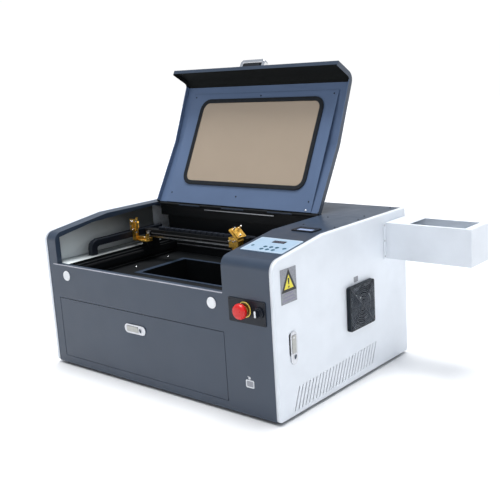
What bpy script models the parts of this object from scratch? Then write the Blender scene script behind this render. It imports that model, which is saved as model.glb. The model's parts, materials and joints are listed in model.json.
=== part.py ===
"""Desktop CO2 laser engraver with a hinged, windowed lid held open, a gantry, a lifting table and a laser-tube extension.

All figures below are millimetres in the cabinet's own frame: x runs right from the left side, y runs back from the
front face, z runs up from the cabinet's underside. point() turns them into the metres of the finished part.
"""

import math

import bpy
import bmesh
from mathutils import Matrix, Vector

MM = 0.001
GAP = 0.3
SHEET = 2.0

# Cabinet
WIDTH = 900.0
DEPTH = 630.0
HEIGHT = 440.0
SIDE_T = 12.0
SIDE_PROUD = 1.5
INNER_L = SIDE_T + GAP
INNER_R = WIDTH - SIDE_T - GAP
CORNER_R = 28.0
KINK_Y = 214.0
SLOPE = 25.0 / 181.0
SLOPE_DEG = math.degrees(math.atan(SLOPE))
CORNER_Z = HEIGHT - SLOPE * KINK_Y
SILL_Z = 317.5
SILL_DEPTH = 16.0
OPEN_L = 52.3
COLUMN_X = 731.0
DECK_Y = 448.0
FOOT_H = 8.0

# Overall extents at rest, which place the part's origin
RIGHT_MOST = 1163.0
FRONT_MOST = -33.0
REAR_MOST = 655.0
X_MID = RIGHT_MOST / 2
Y_MID = (FRONT_MOST + REAR_MOST) / 2

# Lid, drawn closed and then turned open about the hinge
LID_L = 54.0
LID_R = 728.0
LID_BACK = 436.5
LID_LIP_Z = 323.0
LID_FLANGE = 16.0
HINGE_Y = 440.0
HINGE_Z = 436.0
HINGE_R = 4.0
PIN_R = 1.5
LID_OPEN_DEG = 120.3
PANEL_L = 90.0
PANEL_R = 692.0
PANEL_DEG = 3.55
PANEL_LEN = 387.0
GASKET_X = (140.0, 650.0)
GASKET_V = (64.5, 366.0)
GASKET_W = 14.0
GASKET_R = 38.0
HANDLE_X = 391.0
HANDLE_Z = 340.0
HANDLE_LEN = 100.0
HANDLE_OUT = 28.0

# Front door, hinged along its lower edge
DOOR_L = 48.2
DOOR_R = 725.8
DOOR_TOP = 210.8
DOOR_AXIS_Z = 25.0
LOCK_LEN = 86.0
LOCK_H = 27.0
LEVER_OUT = 4.2
DOOR_LOCK = (386.0, 163.0)
SIDE_LOCK = (64.0, 181.0)

# Controls
PLATE_X = (751.0, 871.0)
PLATE_Z = (248.0, 311.0)
ESTOP = (805.0, 284.0)
SELECTOR = (851.0, 282.0)
KEYPAD_X = (747.0, 883.0)
KEYPAD_S = (59.0, 153.0)
KEY_R = 5.5
KEY_COLUMNS = (805.5, 824.0, 842.5)
KEY_ROWS = {"front": 75.5, "back": 92.5}
METER_X = (790.0, 860.0)
METER_Y = (219.0, 263.0)

# Right side
FAN = (368.0, 213.0)
FAN_SIZE = 124.0
LABEL_Y = (25.0, 88.0)
LABEL_Z = (300.0, 388.0)
BOX_Y = (513.0, 617.0)
BOX_Z = (313.0, 417.0)
BEAM_Y = 565.0
BEAM_Z = 384.0
TUBE_R = 25.0

# Work chamber and motion
TUB_L = 83.0
TUB_R = 862.0
TUB_TOP = 317.0
TUB_FLOOR = 268.0
TUB_BACK = 454.0
PIT_X = (220.0, 684.0)
PIT_Y = (180.0, 380.0)
PIT_BOTTOM = 90.0
RAIL_TOP = 312.0
GANTRY_Y = 346.0
GANTRY_Z = (340.0, 368.0)
MIRROR_Y = 318.0
MIRROR_X = 76.0
HEAD_X = 510.0
TABLE_GAPS = 9

COLOURS = {
    "white_paint": ((0.80, 0.83, 0.86), 0.40, 0.0),
    "slate_paint": ((0.065, 0.085, 0.115), 0.38, 0.1),
    "lid_paint": ((0.13, 0.18, 0.30), 0.42, 0.1),
    "black_paint": ((0.010, 0.011, 0.013), 0.55, 0.0),
    "black_plastic": ((0.012, 0.012, 0.014), 0.45, 0.0),
    "rubber": ((0.018, 0.018, 0.020), 0.80, 0.0),
    "acrylic": ((0.42, 0.33, 0.23), 0.15, 0.0),
    "white_plastic": ((0.82, 0.83, 0.84), 0.45, 0.0),
    "red_plastic": ((0.75, 0.03, 0.02), 0.35, 0.0),
    "yellow_plastic": ((0.80, 0.55, 0.03), 0.45, 0.0),
    "grey_metal": ((0.50, 0.52, 0.55), 0.35, 0.8),
    "steel": ((0.55, 0.56, 0.58), 0.30, 1.0),
    "gold_metal": ((0.60, 0.33, 0.06), 0.35, 0.9),
    "keypad_film": ((0.62, 0.76, 0.88), 0.40, 0.0),
    "key_ink": ((0.05, 0.20, 0.28), 0.45, 0.0),
    "label_foil": ((0.45, 0.46, 0.47), 0.45, 0.2),
    "tube_glass": ((0.70, 0.80, 0.82), 0.10, 0.0),
    "bed_metal": ((0.35, 0.36, 0.38), 0.40, 0.9),
}


def point(x, y, z):
    """A place in the cabinet frame as metres in the part's frame."""
    return Vector(((x - X_MID) * MM, (y - Y_MID) * MM, (z + FOOT_H) * MM))


# ---------------------------------------------------------------- shapes: (points, faces) in cabinet millimetres


def box(x0, x1, y0, y1, z0, z1):
    points = [(x, y, z) for z in (z0, z1) for y in (y0, y1) for x in (x0, x1)]
    faces = [(0, 2, 3, 1), (4, 5, 7, 6), (0, 1, 5, 4), (2, 6, 7, 3), (0, 4, 6, 2), (1, 3, 7, 5)]
    return points, faces


def merge(*shapes):
    points = []
    faces = []
    for more_points, more_faces in shapes:
        start = len(points)
        points += more_points
        faces += [tuple(start + i for i in face) for face in more_faces]
    return points, faces


def loft(loops):
    """A closed body through loops of equal length, with a flat face at each end."""
    count = len(loops[0])
    points = [corner for loop in loops for corner in loop]
    faces = [tuple(reversed(range(count)))]
    for level in range(len(loops) - 1):
        low = level * count
        for i in range(count):
            j = (i + 1) % count
            faces.append((low + i, low + j, low + count + j, low + count + i))
    faces.append(tuple(range((len(loops) - 1) * count, len(loops) * count)))
    return points, faces


def along(axis, u, v, h):
    """The point at (u, v) across an axis and h along it."""
    if axis == "x":
        return (h, u, v)
    if axis == "y":
        return (u, h, v)
    return (u, v, h)


def prism(outline, axis, low, high):
    return loft([[along(axis, u, v, h) for u, v in outline] for h in (low, high)])


def lathe(profile, axis, u, v, steps):
    """A round body from (radius, height) pairs that start and end on the axis."""
    points = []
    rings = []
    for radius, height in profile:
        if radius < 1e-6:
            rings.append([len(points)])
            points.append(along(axis, u, v, height))
            continue
        rings.append(list(range(len(points), len(points) + steps)))
        for i in range(steps):
            turn = 2 * math.pi * i / steps
            points.append(along(axis, u + radius * math.cos(turn), v + radius * math.sin(turn), height))
    return points, ring_faces(rings, steps, closed=False)


def ring(profile, axis, u, v, steps):
    """A round body with a hole, from a closed loop of (radius, height) pairs."""
    points = []
    rings = []
    for radius, height in profile:
        rings.append(list(range(len(points), len(points) + steps)))
        for i in range(steps):
            turn = 2 * math.pi * i / steps
            points.append(along(axis, u + radius * math.cos(turn), v + radius * math.sin(turn), height))
    return points, ring_faces(rings, steps, closed=True)


def ring_faces(rings, steps, closed):
    faces = []
    pairs = list(zip(rings, rings[1:]))
    if closed:
        pairs.append((rings[-1], rings[0]))
    for a, b in pairs:
        for i in range(steps):
            j = (i + 1) % steps
            if len(a) == 1:
                faces.append((a[0], b[j], b[i]))
            elif len(b) == 1:
                faces.append((a[i], a[j], b[0]))
            else:
                faces.append((a[i], a[j], b[j], b[i]))
    return faces


def rounded(u0, u1, v0, v1, radius, steps=4):
    """A rectangle's outline with round corners."""
    outline = []
    corners = ((u1, v1, 0), (u0, v1, 90), (u0, v0, 180), (u1, v0, 270))
    for u, v, start in corners:
        cu = u - math.copysign(radius, u - (u0 + u1) / 2)
        cv = v - math.copysign(radius, v - (v0 + v1) / 2)
        for i in range(steps + 1):
            turn = math.radians(start + 90 * i / steps)
            outline.append((cu + radius * math.cos(turn), cv + radius * math.sin(turn)))
    return outline


def turned(shape, axis, degrees, centre):
    """The shape turned about a line through centre."""
    turn = Matrix.Rotation(math.radians(degrees), 3, axis.upper())
    middle = Vector(centre)
    return [tuple(turn @ (Vector(p) - middle) + middle) for p in shape[0]], shape[1]


# ---------------------------------------------------------------- objects


def collection(name):
    made = bpy.data.collections.new(name)
    bpy.context.scene.collection.children.link(made)
    return made


def material(slot):
    colour, roughness, metallic = COLOURS[slot]
    made = bpy.data.materials.new(slot)
    made.use_nodes = True
    shader = made.node_tree.nodes["Principled BSDF"]
    shader.inputs["Base Color"].default_value = (*colour, 1.0)
    shader.inputs["Roughness"].default_value = roughness
    shader.inputs["Metallic"].default_value = metallic
    made.diffuse_color = (*colour, 1.0)
    return made


def mesh_of(name, shape, pivot):
    """The shape as a mesh in metres, measured from the pivot, with every face turned outwards."""
    middle = Vector(pivot)
    mesh = bpy.data.meshes.new(name)
    mesh.from_pydata([(Vector(p) - middle) * MM for p in shape[0]], [], shape[1])
    work = bmesh.new()
    work.from_mesh(mesh)
    bmesh.ops.recalc_face_normals(work, faces=work.faces)
    work.to_mesh(mesh)
    work.free()
    return mesh


def put(obj, pivot, parent):
    """Places an object by its pivot, straight in the part's frame or under a hinge that is itself at hinge_at."""
    if parent is None:
        obj.location = point(*pivot)
        return
    hinge, hinge_at = parent
    obj.parent = hinge
    obj.location = (Vector(pivot) - Vector(hinge_at)) * MM


class Model:
    """The collections and materials that every node shares."""

    def __init__(self):
        self.parts = collection("laser_engraver")
        self.helpers = collection("laser_engraver_cutters")
        self.helpers.hide_render = True
        self.materials = {slot: material(slot) for slot in COLOURS}

    def node(self, name, slot, shape, pivot=None, parent=None, smooth=False):
        if pivot is None:
            low = [min(p[i] for p in shape[0]) for i in range(3)]
            high = [max(p[i] for p in shape[0]) for i in range(3)]
            pivot = tuple((a + b) / 2 for a, b in zip(low, high))
        mesh = mesh_of(name, shape, pivot)
        mesh.materials.append(self.materials[slot])
        obj = bpy.data.objects.new(name, mesh)
        self.parts.objects.link(obj)
        put(obj, pivot, parent)
        obj["pivot_mm"] = pivot
        if smooth:
            mesh.shade_smooth()
            mesh.set_sharp_from_angle(angle=math.radians(35))
        return obj

    def boolean(self, obj, shape, operation):
        pivot = tuple(obj["pivot_mm"])
        count = len(obj.modifiers) + 1
        helper = bpy.data.objects.new(f"{obj.name}_{operation.lower()}{count}", mesh_of(obj.name, shape, pivot))
        self.helpers.objects.link(helper)
        helper.parent = obj.parent
        helper.location = obj.location
        helper.rotation_euler = obj.rotation_euler
        helper.hide_render = True
        helper.display_type = "WIRE"
        modifier = obj.modifiers.new(operation.title(), "BOOLEAN")
        modifier.operation = operation
        modifier.solver = "EXACT"
        modifier.use_self = True
        modifier.object = helper

    def add(self, obj, *shapes):
        self.boolean(obj, merge(*shapes), "UNION")

    def cut(self, obj, *shapes):
        self.boolean(obj, merge(*shapes), "DIFFERENCE")


# ---------------------------------------------------------------- the cabinet's side outline


def profile(inset, z_start, y_end, steps=6):
    """(y, z) up the front face, round the corner, up the slope and back along the flat, inset from the surface."""
    centre_y = CORNER_R
    centre_z = CORNER_Z - CORNER_R * math.tan(math.radians((90 - SLOPE_DEG) / 2))
    path = [(inset, z_start)]
    for i in range(steps + 1):
        turn = math.radians(180 - (90 - SLOPE_DEG) * i / steps)
        radius = CORNER_R - inset
        path.append((centre_y + radius * math.cos(turn), centre_z + radius * math.sin(turn)))
    lean = (1 / math.cos(math.radians(SLOPE_DEG)) - 1) / SLOPE
    path.append((KINK_Y + inset * lean, HEIGHT - inset))
    path.append((y_end, HEIGHT - inset))
    return path


def band(outer, inner, z_start, y_end):
    """The strip between two insets of the side outline."""
    return profile(outer, z_start, y_end) + profile(inner, z_start, y_end)[::-1]


def arc(centre, radius, start, end, steps=3):
    turns = [math.radians(start + (end - start) * i / steps) for i in range(steps + 1)]
    return [(centre[0] + radius * math.cos(t), centre[1] + radius * math.sin(t)) for t in turns]


def side_loop(inset):
    """The closed outline of a side panel, which stands a little proud of the front and top."""
    out = inset - SIDE_PROUD
    top = profile(out, 50.0, DEPTH - 40.0)
    rear_top = arc((DEPTH - 10.0, HEIGHT + SIDE_PROUD - 10.0), 10.0 - inset, 90, 0)
    rear_low = arc((DEPTH - 8.0, 8.0), 8.0 - inset, 0, -90)
    front_low = arc((8.0 - SIDE_PROUD, 8.0), 8.0 - inset, -90, -180)
    return top + rear_top + rear_low + front_low


def side_pan(mirrored):
    """A pan with a round outer edge, open on the inside."""
    stations = ((0.0, 4.0), (0.54, 2.0), (2.0, 0.54), (4.0, 0.0), (SIDE_T, 0.0), (SIDE_T, SHEET), (SHEET, SHEET))
    loops = []
    for x, inset in stations:
        across = WIDTH - x if mirrored else x
        loops.append([(across, y, z) for y, z in side_loop(inset)])
    return loft(loops)


# ---------------------------------------------------------------- cabinet


def slanted_slots():
    """Cooling slots along the foot of the right side, leaning back."""
    slots = []
    for i in range(25):
        y = 57.0 + 15.3 * i
        low = 12.5 + 0.025 * (y - 57.0)
        corners = [(y, low), (y + 3.2, low), (y + 27.2, low + 60.0), (y + 24.0, low + 60.0)]
        slots.append(prism(corners, "x", WIDTH - 8.0, WIDTH + 5.0))
    return slots


def stadium(centre_u, centre_v, length, height, axis, low, high, upright=False):
    half_u = (height if upright else length) / 2
    half_v = (length if upright else height) / 2
    radius = height / 2 - 0.5
    outline = rounded(centre_u - half_u, centre_u + half_u, centre_v - half_v, centre_v + half_v, radius, 5)
    return prism(outline, axis, low, high)


def build_sides(model):
    model.node("side_panel_left", "white_paint", side_pan(False), smooth=True)
    right = model.node("side_panel_right", "white_paint", side_pan(True), smooth=True)
    model.cut(
        right,
        *slanted_slots(),
        lathe([(0, 890), (56, 890), (56, 910), (0, 910)], "x", *FAN, 24),
        lathe([(0, 890), (32, 890), (32, 910), (0, 910)], "x", BEAM_Y, BEAM_Z, 24),
        stadium(*SIDE_LOCK, 78.0, 20.0, "x", 890, 910, upright=True),
    )


def build_fascia(model):
    """The folded front sheet: front plate, narrow left strip and wide control column, with the sill between."""
    plate = [
        (INNER_L, 0.0),
        (INNER_R, 0.0),
        (INNER_R, 384.0),
        (COLUMN_X, 384.0),
        (COLUMN_X, SILL_Z),
        (OPEN_L, SILL_Z),
        (OPEN_L, 384.0),
        (INNER_L, 384.0),
    ]
    fascia = model.node("front_fascia", "slate_paint", prism(plate, "y", 0.0, SHEET))
    end = DECK_Y - GAP
    strip = band(0.0, SHEET, 370.0, end)
    left_skirt = profile(0.0, 306.0, end) + [(end, 432.0), (150.0, 421.0), (18.0, 398.0), (18.0, 306.0)]
    right_skirt = profile(0.0, 306.0, end) + [(end, 424.0), (150.0, 414.0), (24.0, 396.0), (16.0, 380.0), (16.0, 306.0)]
    model.add(fascia, prism(strip, "x", INNER_L, OPEN_L), prism(strip, "x", COLUMN_X, INNER_R))
    model.add(
        fascia,
        prism(left_skirt, "x", OPEN_L - SHEET, OPEN_L),
        prism(right_skirt, "x", COLUMN_X, COLUMN_X + SHEET),
        box(OPEN_L - SHEET, COLUMN_X + SHEET, 0.0, SILL_DEPTH, SILL_Z - SHEET, SILL_Z),
        box(OPEN_L - SHEET, COLUMN_X + SHEET, SILL_DEPTH - SHEET, SILL_DEPTH, 306.0, SILL_Z),
    )
    holes = [box(46.7, 727.3, -5, 10, 23.5, 212.3)]
    for x in (93.0, 691.0):
        holes.append(lathe([(0, -5), (6.3, -5), (6.3, 10), (0, 10)], "y", x, 285.0, 16))
    for x, z in (ESTOP, SELECTOR):
        holes.append(lathe([(0, -5), (11.4, -5), (11.4, 10), (0, 10)], "y", x, z, 20))
    model.cut(fascia, *holes)


def build_shell(model):
    pan = model.node("base_pan", "black_paint", box(INNER_L, INNER_R, 2.3, 627.7, 0.0, 15.0))
    model.cut(pan, box(INNER_L + SHEET, INNER_R - SHEET, 4.3, 625.7, SHEET, 20.0))
    rear = model.node("rear_panel", "white_paint", box(INNER_L, INNER_R, 628.0, DEPTH, 0.0, HEIGHT - SHEET - GAP))
    vents = [box(620.0 + 16.0 * i, 626.0 + 16.0 * i, 620, 640, 90.0, 150.0) for i in range(10)]
    model.cut(rear, lathe([(0, 620), (50.5, 620), (50.5, 640), (0, 640)], "y", 200.0, 130.0, 24), *vents)
    cover = model.node("tube_cover", "slate_paint", box(INNER_L, INNER_R, DECK_Y, DEPTH, HEIGHT - SHEET, HEIGHT))
    model.add(
        cover,
        box(INNER_L, INNER_R, DECK_Y, DECK_Y + SHEET, 424.0, HEIGHT),
        box(INNER_L + 2, INNER_R - 2, 625.0, 627.0, 424.0, HEIGHT - 1),
    )
    outlet = [(65, 630.3), (65, 633), (50, 633), (50, REAR_MOST), (47, REAR_MOST), (47, 610), (50, 610), (50, 630.3)]
    model.node("exhaust_outlet", "black_plastic", ring(outlet, "y", 200.0, 130.0, 28), smooth=True)
    spots = {"front_left": (60, 60), "front_right": (840, 60), "rear_left": (60, 570), "rear_right": (840, 570)}
    foot = [(0, -FOOT_H), (13, -FOOT_H), (15, -FOOT_H + 2), (16, -GAP), (0, -GAP)]
    for name, (x, y) in spots.items():
        model.node(f"foot_{name}", "rubber", lathe(foot, "z", x, y, 16), smooth=True)
    cap = [(0, -4.2), (11, -4.0), (14.3, -3.0), (15.5, -1.4), (15.5, -GAP), (6, -GAP), (6, 8), (0, 8)]
    for name, x in (("left", 93.0), ("right", 691.0)):
        model.node(f"plug_{name}", "white_plastic", lathe(cap, "y", x, 285.0, 20), smooth=True)


def build_chamber(model):
    """Black work chamber with a well in its floor, open below, and the shelf that carries the laser tube."""
    tub = model.node("work_tub", "black_paint", box(TUB_L, TUB_R, 16.5, TUB_BACK, TUB_FLOOR - SHEET, TUB_TOP))
    wall_y = TUB_BACK - SHEET
    model.add(
        tub,
        box(*PIT_X, *PIT_Y, PIT_BOTTOM, TUB_FLOOR),
        box(TUB_L, TUB_R, wall_y, TUB_BACK, TUB_FLOOR - SHEET, 432.0),
        box(TUB_L, TUB_R, wall_y, 610.0, TUB_TOP - SHEET, TUB_TOP),
    )
    model.cut(
        tub,
        box(TUB_L + SHEET, TUB_R - SHEET, 18.5, wall_y, TUB_FLOOR, TUB_TOP + 10),
        box(PIT_X[0] + SHEET, PIT_X[1] - SHEET, PIT_Y[0] + SHEET, PIT_Y[1] - SHEET, PIT_BOTTOM - 5, TUB_FLOOR + 5),
    )
    model.node("left_shelf", "white_paint", box(INNER_L + 0.2, TUB_L - GAP, 18.8, 610.0, TUB_TOP - SHEET, TUB_TOP))
    duct = [(126.0, 317.3), (126.0, 340.0), (129.5, 352.0), (138.0, 361.0), (150.0, 364.5), (438.0, 364.5)]
    duct += [(438.0, 344.5), (158.0, 344.5), (151.5, 342.0), (149.0, 336.0), (149.0, 317.3)]
    model.node("cable_duct", "black_plastic", prism(duct, "x", 46.0, 66.0))
    for name, low in (("left", 92.0), ("right", 828.0)):
        rail = model.node(f"y_rail_{name}", "black_paint", box(low, low + 20, 18.8, wall_y - GAP, 286.0, 306.0))
        model.add(rail, box(low + 4, low + 16, 22.0, wall_y - 4.0, 300.0, RAIL_TOP))


# ---------------------------------------------------------------- controls on the front and the column


def build_plate(model):
    outline = rounded(*PLATE_X, *PLATE_Z, 3.0, 3)
    plate = model.node("control_plate", "black_plastic", prism(outline, "y", -2.3, -GAP))
    holes = [lathe([(0, -8), (11.4, -8), (11.4, 4), (0, 4)], "y", x, z, 20) for x, z in (ESTOP, SELECTOR)]
    model.cut(plate, *holes)
    collar = [(20.5, -2.6), (20.5, -3.8), (19.5, -4.6), (8.3, -4.6), (8.3, 13), (11, 13), (11, -2.6)]
    model.node("estop_collar", "yellow_plastic", ring(collar, "y", *ESTOP, 28), smooth=True)
    stem = [(0, -13.7), (8, -13.7), (8, 11.5), (0, 11.5)]
    model.node("estop_stem", "black_plastic", lathe(stem, "y", *ESTOP, 20), pivot=(ESTOP[0], 0, ESTOP[1]), smooth=True)
    head = [(0, -33), (10, -32.7), (15.5, -31.2), (19, -28), (20.5, -23.5), (20.5, -18.5), (18.5, -15), (12, -14)]
    head.append((0, -14))
    model.node("estop_head", "red_plastic", lathe(head, "y", *ESTOP, 28), pivot=(ESTOP[0], 0, ESTOP[1]), smooth=True)
    bezel = [(14.5, -2.6), (14.5, -6.5), (13.5, -7.6), (10.4, -7.6), (10.4, 13), (11, 13), (11, -2.6)]
    model.node("selector_bezel", "black_plastic", ring(bezel, "y", *SELECTOR, 24), smooth=True)
    knob = [(0, -9.5), (9.2, -9.5), (10.0, -8.6), (10.0, 12), (0, 12)]
    pivot = (SELECTOR[0], 0, SELECTOR[1])
    selector = model.node("selector_knob", "black_plastic", lathe(knob, "y", *SELECTOR, 20), pivot=pivot, smooth=True)
    grip = prism(rounded(SELECTOR[0] - 3.4, SELECTOR[0] + 3.4, SELECTOR[1] - 9.2, SELECTOR[1] + 9.2, 2.5), "y", -19, -8)
    model.add(selector, grip)


def slope_turn(shape):
    """A shape drawn flat, with z measured from the column's top and y along its slope, laid on the slope."""
    base = (0.0, 0.0, CORNER_Z)
    raised = [(x, y, z + CORNER_Z) for x, y, z in shape[0]]
    return turned((raised, shape[1]), "x", SLOPE_DEG, base)


def build_keypad(model):
    pad = prism(rounded(*KEYPAD_X, *KEYPAD_S, 4.0, 3), "z", GAP, 2.3)
    keypad = model.node("keypad", "keypad_film", slope_turn(pad))
    holes = []
    for row, s in KEY_ROWS.items():
        for place, x in zip(("left", "middle", "right"), KEY_COLUMNS):
            holes.append(slope_turn(lathe([(0, -4), (KEY_R + 0.3, -4), (KEY_R + 0.3, 6), (0, 6)], "z", x, s, 16)))
            cap = [(0, 0.9), (KEY_R, 0.9), (KEY_R, 2.6), (KEY_R - 0.7, 3.1), (0, 3.1)]
            shape = slope_turn(lathe(cap, "z", x, s, 16))
            model.node(f"key_{row}_{place}", "key_ink", shape, smooth=True)
    model.cut(keypad, *holes)
    bezel = prism(rounded(*METER_X, *METER_Y, 3.0, 3), "z", HEIGHT + GAP, HEIGHT + 4.0)
    meter = model.node("panel_meter", "black_plastic", bezel)
    model.cut(meter, box(METER_X[0] + 12, METER_X[1] - 7, METER_Y[0] + 6, METER_Y[1] - 18, HEIGHT + 2.0, HEIGHT + 9))


# ---------------------------------------------------------------- right side


def arc_slot(inner, outer, start, end, steps):
    """One curved slot of the finger guard, drawn through it."""
    fan_y, fan_z = FAN
    outline = arc((fan_y, fan_z), outer, start, end, steps) + arc((fan_y, fan_z), inner, end, start, steps)
    return prism(outline, "x", WIDTH + 5.0, WIDTH + 15.0)


def build_fan(model):
    fan_y, fan_z = FAN
    half = FAN_SIZE / 2
    outline = rounded(fan_y - half, fan_y + half, fan_z - half, fan_z + half, 6.0, 3)
    guard = model.node("fan_guard", "black_plastic", prism(outline, "x", WIDTH + GAP, WIDTH + 12.0))
    slots = [prism(rounded(fan_y - half + 3, fan_y + half - 3, fan_z - half + 3, fan_z + half - 3, 4.0, 3), "x", 890, 909)]
    for ring_no in range(5):
        inner = 13.0 + 9.2 * ring_no
        outer = inner + 6.0
        half_spoke = math.degrees(1.6 / inner)
        for quarter in range(4):
            start = 45 + 90 * quarter + half_spoke
            slots.append(arc_slot(inner, outer, start, start + 90 - 2 * half_spoke, 5))
    model.cut(guard, *slots)
    frame = model.node("fan_frame", "black_plastic", prism(rounded(fan_y - 60, fan_y + 60, fan_z - 60, fan_z + 60, 5, 2), "x", 872.5, 897.6))
    struts = [turned(box(873.0, 877.0, fan_y - 58, fan_y + 58, fan_z - 3, fan_z + 3), "x", turn, (0, fan_y, fan_z)) for turn in (45, 135)]
    model.cut(frame, lathe([(0, 870), (56, 870), (56, 900), (0, 900)], "x", fan_y, fan_z, 28))
    model.add(frame, *struts, lathe([(0, 873), (18, 873), (18, 878), (0, 878)], "x", fan_y, fan_z, 20))
    hub = lathe([(0, 878.6), (20, 878.6), (20, 894), (18, 896), (0, 896)], "x", fan_y, fan_z, 20)
    rotor = model.node("fan_rotor", "black_plastic", hub, pivot=(887, fan_y, fan_z), smooth=True)
    blades = []
    for i in range(7):
        blade = turned(box(886.2, 887.8, fan_y - 11, fan_y + 11, fan_z + 14, fan_z + 53.5), "z", 38, (887, fan_y, fan_z))
        blades.append(turned(blade, "x", 360 * i / 7, (887, fan_y, fan_z)))
    model.add(rotor, *blades)


def build_tube(model):
    """The laser tube, its supports, and the box on the right side that takes the end of it."""
    case = model.node("tube_extension", "white_paint", box(WIDTH + GAP, RIGHT_MOST, *BOX_Y, *BOX_Z))
    model.add(case, box(WIDTH + GAP, WIDTH + GAP + SHEET, BOX_Y[0] - 11, BOX_Y[1] + 11, *BOX_Z))
    model.cut(
        case,
        box(WIDTH - 5, RIGHT_MOST - SHEET, BOX_Y[0] + SHEET, BOX_Y[1] - SHEET, BOX_Z[0] + SHEET, BOX_Z[1] - SHEET),
        box(972.0, 1140.0, BOX_Y[0] + 10.0, BOX_Y[1] - 4.0, 400.0, 430.0),
    )
    tube = [(0, 125), (12, 125), (12, 152), (TUBE_R, 160), (TUBE_R, 925), (12, 933), (12, 960), (0, 960)]
    model.node("laser_tube", "tube_glass", lathe(tube, "x", BEAM_Y, BEAM_Z, 24), smooth=True)
    for name, x in (("left", 210.0), ("right", 800.0)):
        low = TUB_TOP + GAP
        body = [(BEAM_Y - 35, low), (BEAM_Y + 35, low), (BEAM_Y + 35, low + 10), (BEAM_Y + 31, BEAM_Z)]
        body += arc((BEAM_Y, BEAM_Z), 31.0, 15, 165, 8) + [(BEAM_Y - 31, BEAM_Z), (BEAM_Y - 35, low + 10)]
        clamp = model.node(f"tube_clamp_{name}", "steel", prism(body, "x", x, x + 22))
        model.cut(clamp, lathe([(0, x - 5), (TUBE_R + GAP, x - 5), (TUBE_R + GAP, x + 30), (0, x + 30)], "x", BEAM_Y, BEAM_Z, 24))
    post = model.node("mirror1_mount", "gold_metal", box(56, 80, BEAM_Y + 8, BEAM_Y + 34, TUB_TOP + GAP, 342.0))
    plate = turned(box(MIRROR_X - 19, MIRROR_X + 19, BEAM_Y, BEAM_Y + 7, 336, 404), "z", 45, (MIRROR_X, BEAM_Y, 0))
    model.add(post, plate)


# ---------------------------------------------------------------- lid


def on_panel(shape):
    """A shape drawn flat and closed, laid along the lid's inner panel, which runs slightly downhill to the front."""
    return turned(shape, "x", PANEL_DEG, (0.0, LID_BACK - 4.5, HEIGHT - SHEET - GAP))


def panel_y(v):
    """y of a place v forward of the panel's rear edge, before the panel is tilted."""
    return LID_BACK - 4.5 - v


def knuckles(which):
    """The hinge's barrel, cut into seven lengths: the even ones are fixed and the odd ones go with the lid."""
    first = 60.0
    length = 662.0 / 7
    for i in range(which, 7, 2):
        yield first + i * length + 0.2, first + (i + 1) * length - 0.2


def build_hinge(model):
    leaf = model.node("lid_hinge", "black_paint", box(60.2, 721.8, 443.3, 445.3, 396.0, 431.4))
    tabs = []
    for x0, x1 in knuckles(0):
        tabs.append(box(x0, x1, 442.0, 445.3, 426.0, HINGE_Z))
        tabs.append(lathe([(0, x0), (HINGE_R, x0), (HINGE_R, x1), (0, x1)], "x", HINGE_Y, HINGE_Z, 12))
    model.add(leaf, *tabs)
    model.add(leaf, lathe([(0, 61), (PIN_R, 61), (PIN_R, 721), (0, 721)], "x", HINGE_Y, HINGE_Z, 12))


def build_lid(model):
    axis = (LID_L, HINGE_Y, HINGE_Z)
    hinge = bpy.data.objects.new("lid_axis", None)
    model.parts.objects.link(hinge)
    hinge.location = point(*axis)
    hinge.rotation_euler = (math.radians(-LID_OPEN_DEG), 0, 0)
    under = (hinge, axis)
    shell = model.node("lid_shell", "slate_paint", prism(band(0.0, SHEET, LID_LIP_Z, LID_BACK), "x", LID_L, LID_R), axis, under)
    flange = band(0.0, LID_FLANGE, LID_LIP_Z, LID_BACK)
    model.add(
        shell,
        prism(flange, "x", LID_L, LID_L + SHEET),
        prism(flange, "x", LID_R - SHEET, LID_R),
        box(LID_L, LID_R, 0.0, 12.0, LID_LIP_Z, LID_LIP_Z + SHEET),
    )
    barrels = []
    bores = []
    for x0, x1 in knuckles(1):
        barrels.append(box(x0, x1, LID_BACK - 3, HINGE_Y, HEIGHT - SHEET, HEIGHT))
        barrels.append(lathe([(0, x0), (HINGE_R, x0), (HINGE_R, x1), (0, x1)], "x", HINGE_Y, HINGE_Z, 12))
        bore = PIN_R + GAP
        bores.append(lathe([(0, x0 - 1), (bore, x0 - 1), (bore, x1 + 1), (0, x1 + 1)], "x", HINGE_Y, HINGE_Z, 12))
    model.add(shell, *barrels)
    window = rounded(GASKET_X[0] - 6, GASKET_X[1] + 6, panel_y(GASKET_V[1] + 6), panel_y(GASKET_V[0] - 6), 44.0, 5)
    model.cut(shell, prism(window, "z", 380.0, 460.0), *bores)
    build_lid_panel(model, axis, under)
    build_handle(model, axis, under)


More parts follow.
